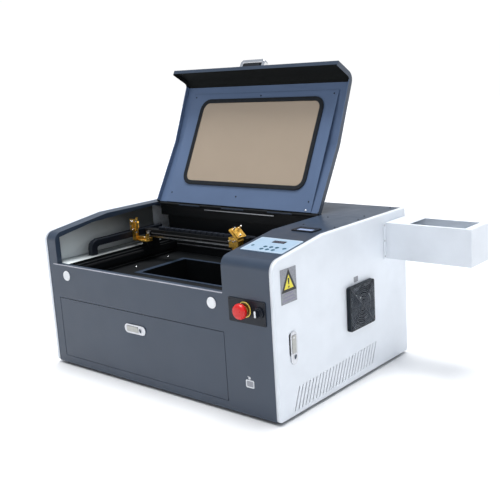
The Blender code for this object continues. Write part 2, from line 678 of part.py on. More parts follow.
def build_lid_panel(model, axis, under):
    """Flat inner sheet, with a pane held in it by a rubber channel."""
    top = HEIGHT - SHEET - GAP
    sheet = on_panel(box(PANEL_L, PANEL_R, panel_y(PANEL_LEN), panel_y(0), top - SHEET, top))
    panel = model.node("lid_panel", "lid_paint", sheet, axis, under)
    x0, x1 = GASKET_X
    y0, y1 = panel_y(GASKET_V[1]), panel_y(GASKET_V[0])
    hole = rounded(x0 + 5, x1 - 5, y0 + 5, y1 - 5, GASKET_R - 5, 5)
    model.cut(panel, on_panel(prism(hole, "z", top - 12, top + 12)))
    outer = [
        (0.0, top - SHEET - 3.5),
        (0.0, top - SHEET - GAP),
        (5.3, top - SHEET - GAP),
        (5.3, top - 0.5),
        (9.0, top - 0.5),
        (9.0, top - SHEET - 1.5),
        (GASKET_W, top - SHEET - 1.5),
        (GASKET_W, top - SHEET - 3.5),
    ]
    loops = []
    for inset, z in outer:
        outline = rounded(x0 + inset, x1 - inset, y0 + inset, y1 - inset, GASKET_R - inset, 5)
        loops.append([(x, y, z) for x, y in outline])
    model.node("lid_gasket", "rubber", on_panel(closed_loft(loops)), axis, under)
    pane = rounded(x0 + 9.3, x1 - 9.3, y0 + 9.3, y1 - 9.3, GASKET_R - 9.3, 5)
    model.node("lid_window", "acrylic", on_panel(prism(pane, "z", top - SHEET - 1.2, top + 1.3)), axis, under)


def closed_loft(loops):
    """A frame-shaped body: each loop runs round the window, and the last one joins back to the first."""
    count = len(loops[0])
    points = [corner for loop in loops for corner in loop]
    faces = []
    for level in range(len(loops)):
        low = level * count
        high = ((level + 1) % len(loops)) * count
        for i in range(count):
            j = (i + 1) % count
            faces.append((low + i, low + j, high + j, high + i))
    return points, faces


def build_handle(model, axis, under):
    """Bow handle on the lid's front lip."""
    half = HANDLE_LEN / 2
    outline = [(HANDLE_X - half, -GAP), (HANDLE_X - half, -HANDLE_OUT + 8), (HANDLE_X - half + 8, -HANDLE_OUT)]
    outline += [(HANDLE_X + half - 8, -HANDLE_OUT), (HANDLE_X + half, -HANDLE_OUT + 8), (HANDLE_X + half, -GAP)]
    outline += [(HANDLE_X + half - 12, -GAP), (HANDLE_X + half - 12, -HANDLE_OUT + 12)]
    outline += [(HANDLE_X - half + 12, -HANDLE_OUT + 12), (HANDLE_X - half + 12, -GAP)]
    shape = prism(outline, "z", HANDLE_Z - 10, HANDLE_Z + 10)
    model.node("lid_handle", "black_plastic", shape, axis, under)


# ---------------------------------------------------------------- front door and the two flush locks


def build_lock(model, name, centre, lift, lever_pivot):
    """A flush lock: oblong plate with a pocket for its lever, and a case behind it. lift maps drawn points into place."""
    u, v = centre
    half_u, half_v = LOCK_LEN / 2, LOCK_H / 2
    plate = prism(rounded(u - half_u, u + half_u, v - half_v, v + half_v, 12.5, 5), "y", -3.2, -GAP)
    body = model.node(f"{name}_body", "grey_metal", lift(plate))
    model.add(body, lift(box(u - 35, u + 35, -1.0, 14.0, v - 7, v + 7)))
    model.cut(body, lift(box(u - 34, u + 14, -5.0, -1.2, v - 8.5, v + 8.5)))
    lever = prism(rounded(u - 33.5, u + 13.5, v - 8, v + 8, 4.0, 3), "y", -LEVER_OUT, -1.5)
    model.node(f"{name}_lever", "grey_metal", lift(lever), pivot=lever_pivot)


def build_door(model):
    arc_low = [(1 + math.cos(math.radians(a)), DOOR_AXIS_Z + math.sin(math.radians(a))) for a in range(0, -181, -30)]
    outline = [(2.0, DOOR_TOP)] + arc_low + [(0.0, DOOR_TOP)]
    axis = (DOOR_L, 1.0, DOOR_AXIS_Z)
    door = model.node("front_door", "slate_paint", prism(outline, "x", DOOR_L, DOOR_R), pivot=axis)
    model.add(door, box(DOOR_L + 8, DOOR_R - 8, 1.0, 12.0, 34.0, 203.0))
    x, z = DOOR_LOCK
    model.cut(
        door,
        box(DOOR_L + 9.5, DOOR_R - 9.5, 2.0, 20.0, 35.5, 201.5),
        stadium(x, z, 78.0, 20.0, "y", -5.0, 8.0),
    )
    build_lock(model, "door_lock", DOOR_LOCK, lambda shape: shape, (x - 33.5, -LEVER_OUT, z))


def build_side_lock(model):
    """The same lock, stood upright on the right side with its keyhole at the bottom."""
    y, z = SIDE_LOCK

    def lift(shape):
        return [(WIDTH - out, y + v, z - u) for u, out, v in shape[0]], shape[1]

    build_lock(model, "side_lock", (0.0, 0.0), lift, (WIDTH + LEVER_OUT, y, z + 33.5))


# ---------------------------------------------------------------- motion


def build_gantry(model):
    y, (z0, z1) = GANTRY_Y, GANTRY_Z
    model.node("gantry_beam", "black_paint", box(88.0, 852.0, y - 12, y + 12, z0, z1), pivot=(470, y, z0))
    for name, low in (("left", 88.0), ("right", 824.0)):
        block = model.node(f"carriage_{name}", "black_paint", box(low, low + 28, y - 26, y + 26, 314.0, z0 - GAP))
        model.add(block, box(low, low + 7.7, y - 26, y + 26, 306.3, 320.0), box(low + 20.3, low + 28, y - 26, y + 26, 306.3, 320.0))
    base = model.node("mirror2_mount", "gold_metal", box(78.0, 138.0, 308.0, 319.7, 334.0, 346.0))
    holder = box(MIRROR_X - 19, MIRROR_X + 19, MIRROR_Y - 7, MIRROR_Y, 366.0, 405.0)
    model.add(
        base,
        box(68.0, 84.0, 298.0, 311.0, 334.0, 372.0),
        box(58.0, 94.0, 298.0, 302.0, 366.5, 405.0),
        turned(holder, "z", -45, (MIRROR_X, MIRROR_Y, 0)),
    )


def build_head(model):
    y, (z0, z1) = GANTRY_Y, GANTRY_Z
    x0, x1 = HEAD_X - 35, HEAD_X + 35
    plate = model.node("head_carriage", "black_paint", box(x0, x1, y - 20, y - 12 - GAP, z0 - 6, z1 + 8))
    model.add(
        plate,
        box(x0, x1, y - 20, y + 18, z1 + GAP, z1 + 8),
        box(x0, x1, y + 12 + GAP, y + 18, z0 + 8, z1 + 8),
    )
    mount = model.node("mirror3_mount", "gold_metal", box(HEAD_X - 18, HEAD_X + 18, 300.0, 325.7, 350.0, 380.0))
    plate = box(HEAD_X - 24, HEAD_X + 24, 301.0, 325.0, 384.0, 391.0)
    model.add(mount, turned(plate, "y", 45, (HEAD_X, 0, 384.0)))
    tube = [(0, 277), (3, 277), (11, 298), (11, 322), (12.5, 322), (12.5, 349.7), (0, 349.7)]
    model.node("head_nozzle", "gold_metal", lathe(tube, "z", HEAD_X, 313.0, 20), smooth=True)


def build_table(model):
    x0, x1 = PIT_X[0] + 6, PIT_X[1] - 6
    y0, y1 = PIT_Y[0] + 6, PIT_Y[1] - 6
    table = model.node("lift_table", "bed_metal", box(x0, x1, y0, y1, 150.0, 160.0))
    slots = []
    pitch = (x1 - x0 - 12) / TABLE_GAPS
    for i in range(TABLE_GAPS):
        left = x0 + 6 + pitch * i
        slots.append(box(left + 2.0, left + pitch - 2.0, y0 + 8, y1 - 8, 140.0, 170.0))
    model.cut(table, *slots)


def main():
    for obj in list(bpy.data.objects):
        bpy.data.objects.remove(obj, do_unlink=True)
    model = Model()
    build_sides(model)
    build_fascia(model)
    build_shell(model)
    build_chamber(model)
    build_plate(model)
    build_keypad(model)
    build_fan(model)
    label = box(WIDTH + GAP, WIDTH + 0.9, *LABEL_Y, *LABEL_Z)
    model.node("warning_label", "label_foil", label)
    build_tube(model)
    build_hinge(model)
    build_lid(model)
    build_door(model)
    build_side_lock(model)
    build_gantry(model)
    build_head(model)
    build_table(model)


main()
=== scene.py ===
"""Looks of the desktop laser engraver: materials, small fittings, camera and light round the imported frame.

Figures are millimetres in the cabinet's own frame: x runs right from its left side, y back from the front
sheet, z up from its underside. at() turns them into the metres of the frame. What rides on the lid is drawn
with the lid shut, what lies on the column's sloping top is drawn flat, and each is then turned into place.
"""

import json
import math
import bmesh
import bpy
from mathutils import Matrix, Vector


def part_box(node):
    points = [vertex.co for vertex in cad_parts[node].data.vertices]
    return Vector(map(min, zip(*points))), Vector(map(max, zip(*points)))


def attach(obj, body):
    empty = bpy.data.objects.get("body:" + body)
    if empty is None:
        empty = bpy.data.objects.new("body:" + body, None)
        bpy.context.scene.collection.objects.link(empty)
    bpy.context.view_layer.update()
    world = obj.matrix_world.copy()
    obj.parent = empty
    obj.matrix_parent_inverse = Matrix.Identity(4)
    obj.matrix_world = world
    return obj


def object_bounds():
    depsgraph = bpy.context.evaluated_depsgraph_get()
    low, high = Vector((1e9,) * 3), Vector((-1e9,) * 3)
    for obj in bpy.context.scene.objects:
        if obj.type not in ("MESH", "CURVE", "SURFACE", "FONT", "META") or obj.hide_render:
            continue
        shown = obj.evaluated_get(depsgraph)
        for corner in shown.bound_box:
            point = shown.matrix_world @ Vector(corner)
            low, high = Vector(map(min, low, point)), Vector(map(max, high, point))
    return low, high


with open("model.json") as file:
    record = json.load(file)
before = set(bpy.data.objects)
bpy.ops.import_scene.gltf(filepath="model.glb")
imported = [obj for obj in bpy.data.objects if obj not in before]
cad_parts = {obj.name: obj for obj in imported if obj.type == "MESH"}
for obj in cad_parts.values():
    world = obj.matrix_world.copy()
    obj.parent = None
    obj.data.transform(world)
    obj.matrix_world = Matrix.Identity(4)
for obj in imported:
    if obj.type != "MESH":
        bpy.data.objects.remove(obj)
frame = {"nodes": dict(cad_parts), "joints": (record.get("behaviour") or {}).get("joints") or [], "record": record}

CAD_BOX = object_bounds()
MM = 0.001

# Where the cabinet's frame lies, read from three nodes
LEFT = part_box("side_panel_left")[0].x
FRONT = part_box("front_fascia")[0].y
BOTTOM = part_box("base_pan")[0].z
FLOOR = CAD_BOX[0].z


def at(x, y, z):
    """A place in the cabinet's frame, in metres."""
    return Vector((LEFT + x * MM, FRONT + y * MM, BOTTOM + z * MM))


def span(node):
    """Lowest and highest corner of a node in the cabinet's millimetres."""
    low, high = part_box(node)
    start = at(0, 0, 0)
    return (low - start) / MM, (high - start) / MM


def joint(name):
    return next(j for j in frame["joints"] if j["name"] == name)


def about(pivot, degrees, axis):
    """A turn about a line through pivot, given in metres."""
    turn = Matrix.Rotation(math.radians(degrees), 4, axis)
    return Matrix.Translation(pivot) @ turn @ Matrix.Translation(-pivot)


LID_OPEN = about(Vector(joint("lid_hinge_turn")["pos_m"]), -joint("lid_hinge_turn")["range_deg"][1], "X")

# The column's sloping top, as it is folded in the front sheet
SLOPE_DEG = 7.864
SLOPE_Z = 410.44
ON_SLOPE = about(at(0, 0, SLOPE_Z), SLOPE_DEG, "X") @ Matrix.Translation(at(0, 0, SLOPE_Z))

# The lid's flat inner sheet runs slightly downhill to the front when the lid is shut
PANEL_DEG = 3.55
PANEL_REAR = (432.0, 437.7)
PANEL_FACE = -2.0
ON_PANEL = LID_OPEN @ about(at(0, *PANEL_REAR), PANEL_DEG, "X") @ Matrix.Translation(at(0, *PANEL_REAR))

WHITE = (0.76, 0.80, 0.85)
SLATE = (0.031, 0.048, 0.078)
LID_BLUE = (0.105, 0.160, 0.275)
BLACK = (0.006, 0.007, 0.008)
GOLD = (0.85, 0.50, 0.09)
# Painted shade inside the chamber: how dark it gets at the rear and top, and the heights it spans
PAINTED_SHADE_DEPTH = 0.10
SHADE_LOW_Z = 330.0
SHADE_HIGH_Z = 420.0
SPECULAR = "Specular IOR Level"
CLEARNESS = "Transmission Weight"
TAN = (0.50, 0.405, 0.305)


# ---------------------------------------------------------------- materials


class Finish:
    """A Principled material, with noise laid over its colour, roughness and height."""

    def __init__(self, name, colour, roughness, metallic=0.0):
        self.material = bpy.data.materials.new(name)
        self.material.use_nodes = True
        self.material.diffuse_color = (*colour, 1.0)
        self.tree = self.material.node_tree
        self.shader = self.tree.nodes["Principled BSDF"]
        self.colour = colour
        self.set("Base Color", (*colour, 1.0))
        self.set("Roughness", roughness)
        self.set("Metallic", metallic)
        self.coordinates = self.tree.nodes.new("ShaderNodeTexCoord").outputs["Object"]
        self.height = None

    def set(self, socket, value):
        self.shader.inputs[socket].default_value = value
        return self

    def node(self, kind, **values):
        made = self.tree.nodes.new(kind)
        for key, value in values.items():
            setattr(made, key, value)
        return made

    def link(self, source, target):
        self.tree.links.new(source, target)

    def noise(self, grain_mm, detail=2.0, stretch=(1, 1, 1)):
        """Noise with features about grain_mm across, drawn out along an axis where stretch is below 1."""
        mapping = self.node("ShaderNodeMapping")
        mapping.inputs["Scale"].default_value = stretch
        self.link(self.coordinates, mapping.inputs["Vector"])
        made = self.node("ShaderNodeTexNoise")
        made.inputs["Scale"].default_value = 1.0 / (grain_mm * MM)
        made.inputs["Detail"].default_value = detail
        self.link(mapping.outputs["Vector"], made.inputs["Vector"])
        return made.outputs["Fac"]

    def between(self, value, low, high, start=0.3, end=0.7):
        made = self.node("ShaderNodeMapRange")
        made.inputs["From Min"].default_value = start
        made.inputs["From Max"].default_value = end
        made.inputs["To Min"].default_value = low
        made.inputs["To Max"].default_value = high
        self.link(value, made.inputs["Value"])
        return made.outputs["Result"]

    def shades(self, grain_mm, low, high, stretch=(1, 1, 1)):
        """Base colour wandering between low and high times itself."""
        ramp = self.node("ShaderNodeValToRGB")
        ramp.color_ramp.elements[0].position = 0.3
        ramp.color_ramp.elements[1].position = 0.7
        ramp.color_ramp.elements[0].color = (*(min(c * low, 1.0) for c in self.colour), 1.0)
        ramp.color_ramp.elements[1].color = (*(min(c * high, 1.0) for c in self.colour), 1.0)
        self.link(self.noise(grain_mm, 3.0, stretch), ramp.inputs["Fac"])
        self.link(ramp.outputs["Color"], self.shader.inputs["Base Color"])
        return self

    def rubbed(self, grain_mm, low, high, stretch=(1, 1, 1)):
        """Roughness wandering between low and high."""
        roughness = self.between(self.noise(grain_mm, 3.0, stretch), low, high)
        self.link(roughness, self.shader.inputs["Roughness"])
        return self

    def grain(self, grain_mm, depth_mm, stretch=(1, 1, 1), strength=1.0):
        """A layer of bump, laid over any that is already there."""
        bump = self.node("ShaderNodeBump")
        bump.inputs["Distance"].default_value = depth_mm * MM
        bump.inputs["Strength"].default_value = strength
        self.link(self.noise(grain_mm, 2.0, stretch), bump.inputs["Height"])
        if self.height is not None:
            self.link(self.height, bump.inputs["Normal"])
        self.height = bump.outputs["Normal"]
        self.link(self.height, self.shader.inputs["Normal"])
        return self


def powder_coat(name, colour, roughness, peel=0.10):
    """Fine powder grain over a soft orange peel, with slight clouding."""
    made = Finish(name, colour, roughness)
    made.shades(90.0, 0.96, 1.04).rubbed(60.0, roughness - 0.05, roughness + 0.06)
    return made.grain(7.0, peel).grain(0.9, 0.035)


def brushed(name, colour, roughness, along="x"):
    stretch = {"x": (0.03, 1, 1), "y": (1, 0.03, 1), "z": (1, 1, 0.03)}[along]
    made = Finish(name, colour, roughness, 1.0)
    made.shades(1.2, 0.88, 1.08, stretch).rubbed(0.8, roughness - 0.07, roughness + 0.10, stretch)
    return made.grain(0.5, 0.02, stretch)


def moulded(name, colour, roughness):
    """Moulded plastic: fine spark-eroded grain and a little wear in its gloss."""
    made = Finish(name, colour, roughness)
    made.shades(25.0, 0.92, 1.10).rubbed(18.0, roughness - 0.06, roughness + 0.08)
    return made.grain(0.6, 0.03)


def anodised(name, colour, roughness):
    made = Finish(name, colour, roughness, 0.92)
    made.shades(6.0, 0.86, 1.12).rubbed(4.0, roughness - 0.06, roughness + 0.08)
    return made.grain(0.35, 0.008)


def painted_shade_finish(name, colour, roughness, lit_to, shaded_from):
    """Pale paint with painted shade: it darkens between two depths y toward the rear, and upward between two
    heights, where the chamber lies in shade.
    """
    made = Finish(name, colour, roughness)
    place = made.node("ShaderNodeSeparateXYZ")
    made.link(made.coordinates, place.inputs["Vector"])
    ramp = made.node("ShaderNodeValToRGB")
    ramp.color_ramp.elements[0].color = (*colour, 1.0)
    ramp.color_ramp.elements[1].color = (*(c * PAINTED_SHADE_DEPTH for c in colour), 1.0)
    start, end = at(0, lit_to, SHADE_LOW_Z), at(0, shaded_from, SHADE_HIGH_Z)
    rearward = made.between(place.outputs["Y"], 0.0, 0.75, start.y, end.y)
    upward = made.between(place.outputs["Z"], 0.0, 0.45, start.z, end.z)
    # Painted shade: the rearward and the upward darkening added together
    painted_shade = made.node("ShaderNodeMath", operation="ADD")
    made.link(rearward, painted_shade.inputs[0])
    made.link(upward, painted_shade.inputs[1])
    mottle = made.node("ShaderNodeMath", operation="MULTIPLY_ADD")
    made.link(made.noise(70.0, 4.0), mottle.inputs[0])
    mottle.inputs[1].default_value = 0.12
    made.link(painted_shade.outputs["Value"], mottle.inputs[2])
    made.link(mottle.outputs["Value"], ramp.inputs["Fac"])
    made.link(ramp.outputs["Color"], made.shader.inputs["Base Color"])
    return made.rubbed(50.0, roughness - 0.06, roughness + 0.1).grain(7.0, 0.08).grain(0.9, 0.03)


def tinted_pane(name):
    """Smoke-brown acrylic: light from behind shows through it evenly."""
    made = Finish(name, TAN, 0.12)
    made.set(CLEARNESS, 0.35).set("IOR", 1.49)
    return made.shades(160.0, 0.985, 1.015).rubbed(90.0, 0.12, 0.18).grain(160.0, 0.02)


def patched(name, colour, roughness, metallic, patch_mm, shading, grain):
    """A smooth finish with patches shaded between two tints, and one fine grain of (size, depth)."""
    return Finish(name, colour, roughness, metallic).shades(patch_mm, *shading).grain(*grain)


# A dull black for sheets of painted shade
def shade_sheet_finish(name, colour):
    return Finish(name, colour, 0.95).set(SPECULAR, 0.1).shades(3, 0.8, 1.3).grain(1.2, 0.15)


def lit(name, colour, strength):
    made = Finish(name, colour, 0.3)
    made.set("Emission Color", (*colour, 1.0)).set("Emission Strength", strength)
    return made.shades(4.0, 0.95, 1.05)


def make_materials():
    """One material for each of the record's slots, and more for the small fittings."""
    finishes = {
        "white_paint": powder_coat("white_paint", WHITE, 0.34, 0.06),
        "slate_paint": powder_coat("slate_paint", SLATE, 0.36).set(SPECULAR, 0.55),
        "lid_paint": powder_coat("lid_paint", LID_BLUE, 0.45),
        "black_paint": powder_coat("black_paint", BLACK, 0.48).set(SPECULAR, 0.22),
        "black_plastic": moulded("black_plastic", (0.008, 0.011, 0.018), 0.40).set(SPECULAR, 0.32),
        "rubber": moulded("rubber", (0.007, 0.010, 0.014), 0.60).set(SPECULAR, 0.35).grain(2.0, 0.05),
        "acrylic": tinted_pane("acrylic"),
        "white_plastic": moulded("white_plastic", (0.78, 0.80, 0.82), 0.38),
        "red_plastic": moulded("red_plastic", (0.62, 0.013, 0.012), 0.32),
        "yellow_plastic": moulded("yellow_plastic", (0.80, 0.60, 0.10), 0.40),
        "grey_metal": patched("grey_metal", (0.60, 0.61, 0.64), 0.30, 0.9, 9, (0.92, 1.05), (1.2, 0.02)),
        "steel": brushed("steel", (0.58, 0.59, 0.61), 0.30),
        "gold_metal": anodised("gold_metal", GOLD, 0.30),
        "keypad_film": patched("keypad_film", (0.37, 0.50, 0.63), 0.34, 0.0, 30, (0.97, 1.02), (0.5, 0.02)),
        "key_ink": moulded("key_ink", (0.014, 0.085, 0.140), 0.40),
        "label_foil": patched("label_foil", (0.27, 0.28, 0.31), 0.45, 0.2, 4, (0.80, 1.16), (0.7, 0.01)),
        "tube_glass": Finish("tube_glass", (0.92, 0.96, 0.97), 0.04).set(CLEARNESS, 0.95).grain(30, 0.02),
        "bed_metal": brushed("bed_metal", (0.40, 0.41, 0.43), 0.36, "y"),
        "chrome": Finish("chrome", (0.80, 0.81, 0.83), 0.10, 1.0).rubbed(5.0, 0.06, 0.16).grain(3.0, 0.01),
        "dark_blue": moulded("dark_blue", (0.010, 0.022, 0.045), 0.25),
        "window_dark": moulded("window_dark", (0.012, 0.016, 0.022), 0.12),
        # A faint glow for the meter's face: painted light
        "meter_glow_blue": lit("meter_glow_blue", (0.30, 0.38, 0.58), 0.08),
        "sign_yellow": moulded("sign_yellow", (0.78, 0.68, 0.05), 0.42),
        "sign_black": moulded("sign_black", (0.012, 0.012, 0.010), 0.45),
        "painted_shade_black": shade_sheet_finish("painted_shade_black", (0.010, 0.011, 0.011)),
        "sign_grey": moulded("sign_grey", (0.30, 0.31, 0.34), 0.5),
        "collar_shade_amber": moulded("collar_shade_amber", (0.16, 0.06, 0.012), 0.45),
        "paddle_grey": patched("paddle_grey", (0.42, 0.42, 0.40), 0.36, 0.8, 7, (0.9, 1.06), (0.8, 0.02)),
        "print_grey": moulded("print_grey", (0.22, 0.20, 0.30), 0.5),
        "print_white": moulded("print_white", (0.72, 0.74, 0.77), 0.45),
        "belt": moulded("belt", (0.016, 0.016, 0.017), 0.66).grain(1.0, 0.05),
        "green_glow": lit("green_glow", (0.05, 0.60, 0.35), 1.2),
        "wire_grey": Finish("wire_grey", (0.16, 0.18, 0.21), 0.28, 0.6).rubbed(8, 0.22, 0.4).grain(1.5, 0.02),
        # Pale paint with painted shade toward the rear and top of the chamber
        "painted_shade_white": painted_shade_finish("painted_shade_white", (0.84, 0.90, 0.90), 0.42, 90.0, 400.0),
        "painted_shade_shelf": painted_shade_finish("painted_shade_shelf", (0.84, 0.90, 0.90), 0.60, 40.0, 150.0).set(SPECULAR, 0.2),
        # Pale grey for the painted highlight along the sill
        "sill_highlight_grey": patched("sill_highlight_grey", (0.42, 0.43, 0.48), 0.35, 0.4, 30, (0.85, 1.1), (1.0, 0.02)),
        "guard_navy": moulded("guard_navy", (0.005, 0.010, 0.016), 0.45).set(SPECULAR, 0.25),
        "spoke_dark": moulded("spoke_dark", (0.030, 0.036, 0.050), 0.42),
        "mirror": Finish("mirror", (0.85, 0.86, 0.84), 0.03, 1.0).rubbed(3.0, 0.02, 0.06),
    }
    return {name: finish.material for name, finish in finishes.items()}


MATERIALS = make_materials()
NODE_SLOT = {s["node"]: s["material_slot"] for s in frame["record"]["subparts"]}


# ---------------------------------------------------------------- mesh tools


def along(axis, u, v, h):
    """The point at (u, v) across an axis and h along it."""
    if axis == "x":
        return (h, u, v)
    if axis == "y":
        return (u, h, v)
    return (u, v, h)


def loft(bm, loops, capped=True, ring=False):
    """Faces through loops of equal length, closed at the ends or joined back to the start."""
    made = [[bm.verts.new(p) for p in loop] for loop in loops]
    count = len(loops[0])
    pairs = list(zip(made, made[1:]))
    if ring:
        pairs.append((made[-1], made[0]))
    for low, high in pairs:
        for i in range(count):
            j = (i + 1) % count
            bm.faces.new((low[i], low[j], high[j], high[i]))
    if capped and not ring:
        bm.faces.new(made[0][::-1])
        bm.faces.new(made[-1])


def box(bm, x0, x1, y0, y1, z0, z1):
    loft(bm, [[(x0, y0, z), (x1, y0, z), (x1, y1, z), (x0, y1, z)] for z in (z0, z1)])


def prism(bm, outline, axis, low, high):
    loft(bm, [[along(axis, u, v, h) for u, v in outline] for h in (low, high)])


def circle(radius, steps, start=0.0):
    turns = [math.radians(start) + 2 * math.pi * i / steps for i in range(steps)]
    return [(radius * math.cos(t), radius * math.sin(t)) for t in turns]


def lathe(bm, profile, axis, u, v, steps=24):
    """A turned body from (radius, height) pairs, with a flat cap at each end."""
    levels = [(circle(radius, steps), height) for radius, height in profile]
    loft(bm, [[along(axis, u + a, v + b, height) for a, b in ring] for ring, height in levels])


def sweep(bm, path, radius, sides=8):
    """A round bar along a path of points."""
    points = [Vector(p) for p in path]
    loops = []
    across = None
    for i, point in enumerate(points):
        ahead = points[min(i + 1, len(points) - 1)]
        behind = points[max(i - 1, 0)]
        way = (ahead - behind).normalized()
        if across is None:
            across = way.orthogonal().normalized()
        across = (across - way * across.dot(way)).normalized()
        other = way.cross(across)
        loops.append([point + across * a + other * b for a, b in circle(radius, sides)])
    loft(bm, loops)


def rounded(u0, u1, v0, v1, radius, steps=4):
    """A rectangle's outline with round corners."""
    outline = []
    for cu, cv, start in (
        (u1 - radius, v1 - radius, 0),
        (u0 + radius, v1 - radius, 90),
        (u0 + radius, v0 + radius, 180),
        (u1 - radius, v0 + radius, 270),
    ):
        for i in range(steps + 1):
            turn = math.radians(start + 90 * i / steps)
            outline.append((cu + radius * math.cos(turn), cv + radius * math.sin(turn)))
    return outline


def round_edges(obj, width, segments=2, angle=32):
    """Rounds an object's edges and evens its shading. Flat faces are joined up first, for a clean bevel."""
    obj.data.shade_smooth()
    weld = obj.modifiers.new("weld", "WELD")
    weld.merge_threshold = 0.00002
    flat = obj.modifiers.new("flat", "DECIMATE")
    flat.decimate_type = "DISSOLVE"
    flat.angle_limit = math.radians(0.6)
    if width:
        bevel = obj.modifiers.new("bevel", "BEVEL")
        bevel.width = width * MM
        bevel.segments = segments
        bevel.limit_method = "ANGLE"
        bevel.angle_limit = math.radians(angle)
        bevel.use_clamp_overlap = True
    normals = obj.modifiers.new("normals", "WEIGHTED_NORMAL")
    normals.keep_sharp = False


def piece(name, slot, body, draw, place=None, edge=0.0, segments=2):
    """Draws a mesh in cabinet millimetres, puts it in place, gives it its finish and rides it on its body."""
    bm = bmesh.new()
    draw(bm)
    bmesh.ops.recalc_face_normals(bm, faces=bm.faces)
    for vert in bm.verts:
        vert.co = vert.co * MM if place is ON_SLOPE or place is ON_PANEL else at(*vert.co)
    mesh = bpy.data.meshes.new(name)
    bm.to_mesh(mesh)
    bm.free()
    obj = bpy.data.objects.new(name, mesh)
    bpy.context.scene.collection.objects.link(obj)
    if place is not None:
        mesh.transform(place)
    mesh.materials.append(MATERIALS[slot])
    round_edges(obj, edge, segments)
    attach(obj, body)
    return obj


def screw_head(bm, axis, u, v, surface, out, radius=3.0):
    """A pan head with a hexagon socket. out, 1 or -1, is the way it stands off its surface along the axis."""
    steps = 18
    profile = [(1.0, 0.0), (1.0, 0.35), (0.93, 0.85), (0.7, 1.25), (0.5, 1.35)]
    loops = []
    for share, h in profile:
        ring = circle(radius * share, steps)
        loops.append([along(axis, u + a, v + b, surface + out * h * radius / 3) for a, b in ring])
    for depth in (1.35, 0.55):
        reach = radius * 0.45
        ring = []
        for a, b in circle(1.0, steps):
            turn = math.atan2(b, a) % (math.pi / 3) - math.pi / 6
            scale = reach * math.cos(math.pi / 6) / math.cos(turn)
            ring.append(along(axis, u + a * scale, v + b * scale, surface + out * depth * radius / 3))
        loops.append(ring)
    loft(bm, loops)


# ---------------------------------------------------------------- the CAD nodes themselves


EDGE_WIDTH = {
    "side_panel_left": 0.0,
    "side_panel_right": 0.0,
    "front_fascia": 0.7,
    "front_door": 0.8,
    "lid_shell": 0.7,
    "lid_panel": 0.6,
    "lid_handle": 2.6,
    "tube_extension": 0.8,
    "estop_head": 0.0,
    "fan_guard": 0.5,
    "keypad": 0.25,
    "control_plate": 0.4,
    "panel_meter": 0.7,
    "warning_label": 0.1,
    "lid_window": 0.3,
    "laser_tube": 0.0,
    "selector_knob": 0.5,
    "cable_duct": 1.6,
    "work_tub": 0.7,
    "lift_table": 0.4,
}


# Nodes whose finish differs from their slot's plain one
NODE_FINISH = {
    "lid_handle": "chrome",
    "door_lock_lever": "paddle_grey",
    "side_lock_lever": "paddle_grey",
    # The shelf gets painted shade toward the rear
    "left_shelf": "painted_shade_shelf",
    "fan_guard": "guard_navy",
}


def dress_nodes():
    """Every CAD node gets its slot's material, rounded edges and smooth round faces."""
    for name, node in frame["nodes"].items():
        node.data.materials.clear()
        node.data.materials.append(MATERIALS[NODE_FINISH.get(name, NODE_SLOT[name])])
        if node.data.has_custom_normals:
            node.data.attributes.remove(node.data.attributes["custom_normal"])
        round_edges(node, EDGE_WIDTH.get(name, 0.35))


# ---------------------------------------------------------------- fittings on the front


SILL_TOP = 317.5
SILL_ENDS = (32.0, 730.0)


def front_fittings():
    """Screws of the control plate, a ring of painted shade on the collar's face, the selector's pointer, a painted
    highlight along the sill and a sign.
    """
    low, high = span("control_plate")
    face = low.y

    def plate_screws(bm):
        for x in (low.x + 5, high.x - 5):
            for z in (low.z + 5, high.z - 5):
                screw_head(bm, "y", x, z, face, -1, 2.0)

    piece("control_plate_screws", "black_plastic", "cabinet", plate_screws)
    low, high = span("estop_collar")
    x, z, face = (low.x + high.x) / 2, (low.z + high.z) / 2, low.y

    # A dark amber ring on the collar's face, leaving a pale rim: painted shade and painted reflection of the red
    # head
    def collar_shade_ring(bm):
        profile = [(18.2, face - 0.02), (18.2, face - 0.3), (11.4, face - 0.3), (11.4, face - 0.02)]
        loft(bm, [[(x + a, h, z + b) for a, b in circle(r, 32)] for r, h in profile], ring=True)

    piece("estop_collar_painted_shade", "collar_shade_amber", "cabinet", collar_shade_ring)
    low, high = span("selector_knob")
    x, z, face = (low.x + high.x) / 2, (low.z + high.z) / 2, low.y

    def pointer(bm):
        prism(bm, rounded(x - 2.6, x + 2.6, z - 8.4, z + 8.4, 1.6), "y", face - 0.5, face + 0.6)

    piece("selector_pointer", "print_white", "selector", pointer, edge=0.2)

    def sign_field(bm):
        prism(bm, rounded(794, 817, 78, 95, 2.5), "y", -0.3, -0.05)

    def sign_rim(bm):
        outer, inner = rounded(792, 819, 76, 97, 3.5), rounded(795, 816, 79, 94, 2.0)
        loops = [(outer, -0.05), (outer, -0.5), (inner, -0.5), (inner, -0.05)]
        loft(bm, [[(u, h, v) for u, v in loop] for loop, h in loops], ring=True)

    def sign_dot(bm):
        head = [(804.5 + a, 102.2 + b) for a, b in circle(3.9, 20)]
        prism(bm, head, "y", -0.5, -0.05)
        prism(bm, [(798.0, 105.6), (804.0, 104.2), (804.0, 105.8), (799.0, 107.0)], "y", -0.5, -0.05)

    # A pale strip along the sill's front edge and fold: a painted highlight where the fold catches the sky
    def sill_painted_highlight(bm):
        left, right = SILL_ENDS
        box(bm, left, right, -0.35, 1.5, SILL_TOP + 0.02, SILL_TOP + 0.5)
        box(bm, left, right, -0.35, -0.05, SILL_TOP - 2.4, SILL_TOP + 0.02)

    piece("sill_painted_highlight", "sill_highlight_grey", "cabinet", sill_painted_highlight, edge=0.12)
    piece("front_sign_field", "sign_grey", "cabinet", sign_field)
    piece("front_sign_rim", "print_white", "cabinet", sign_rim)
    piece("front_sign_dot", "print_white", "cabinet", sign_dot)


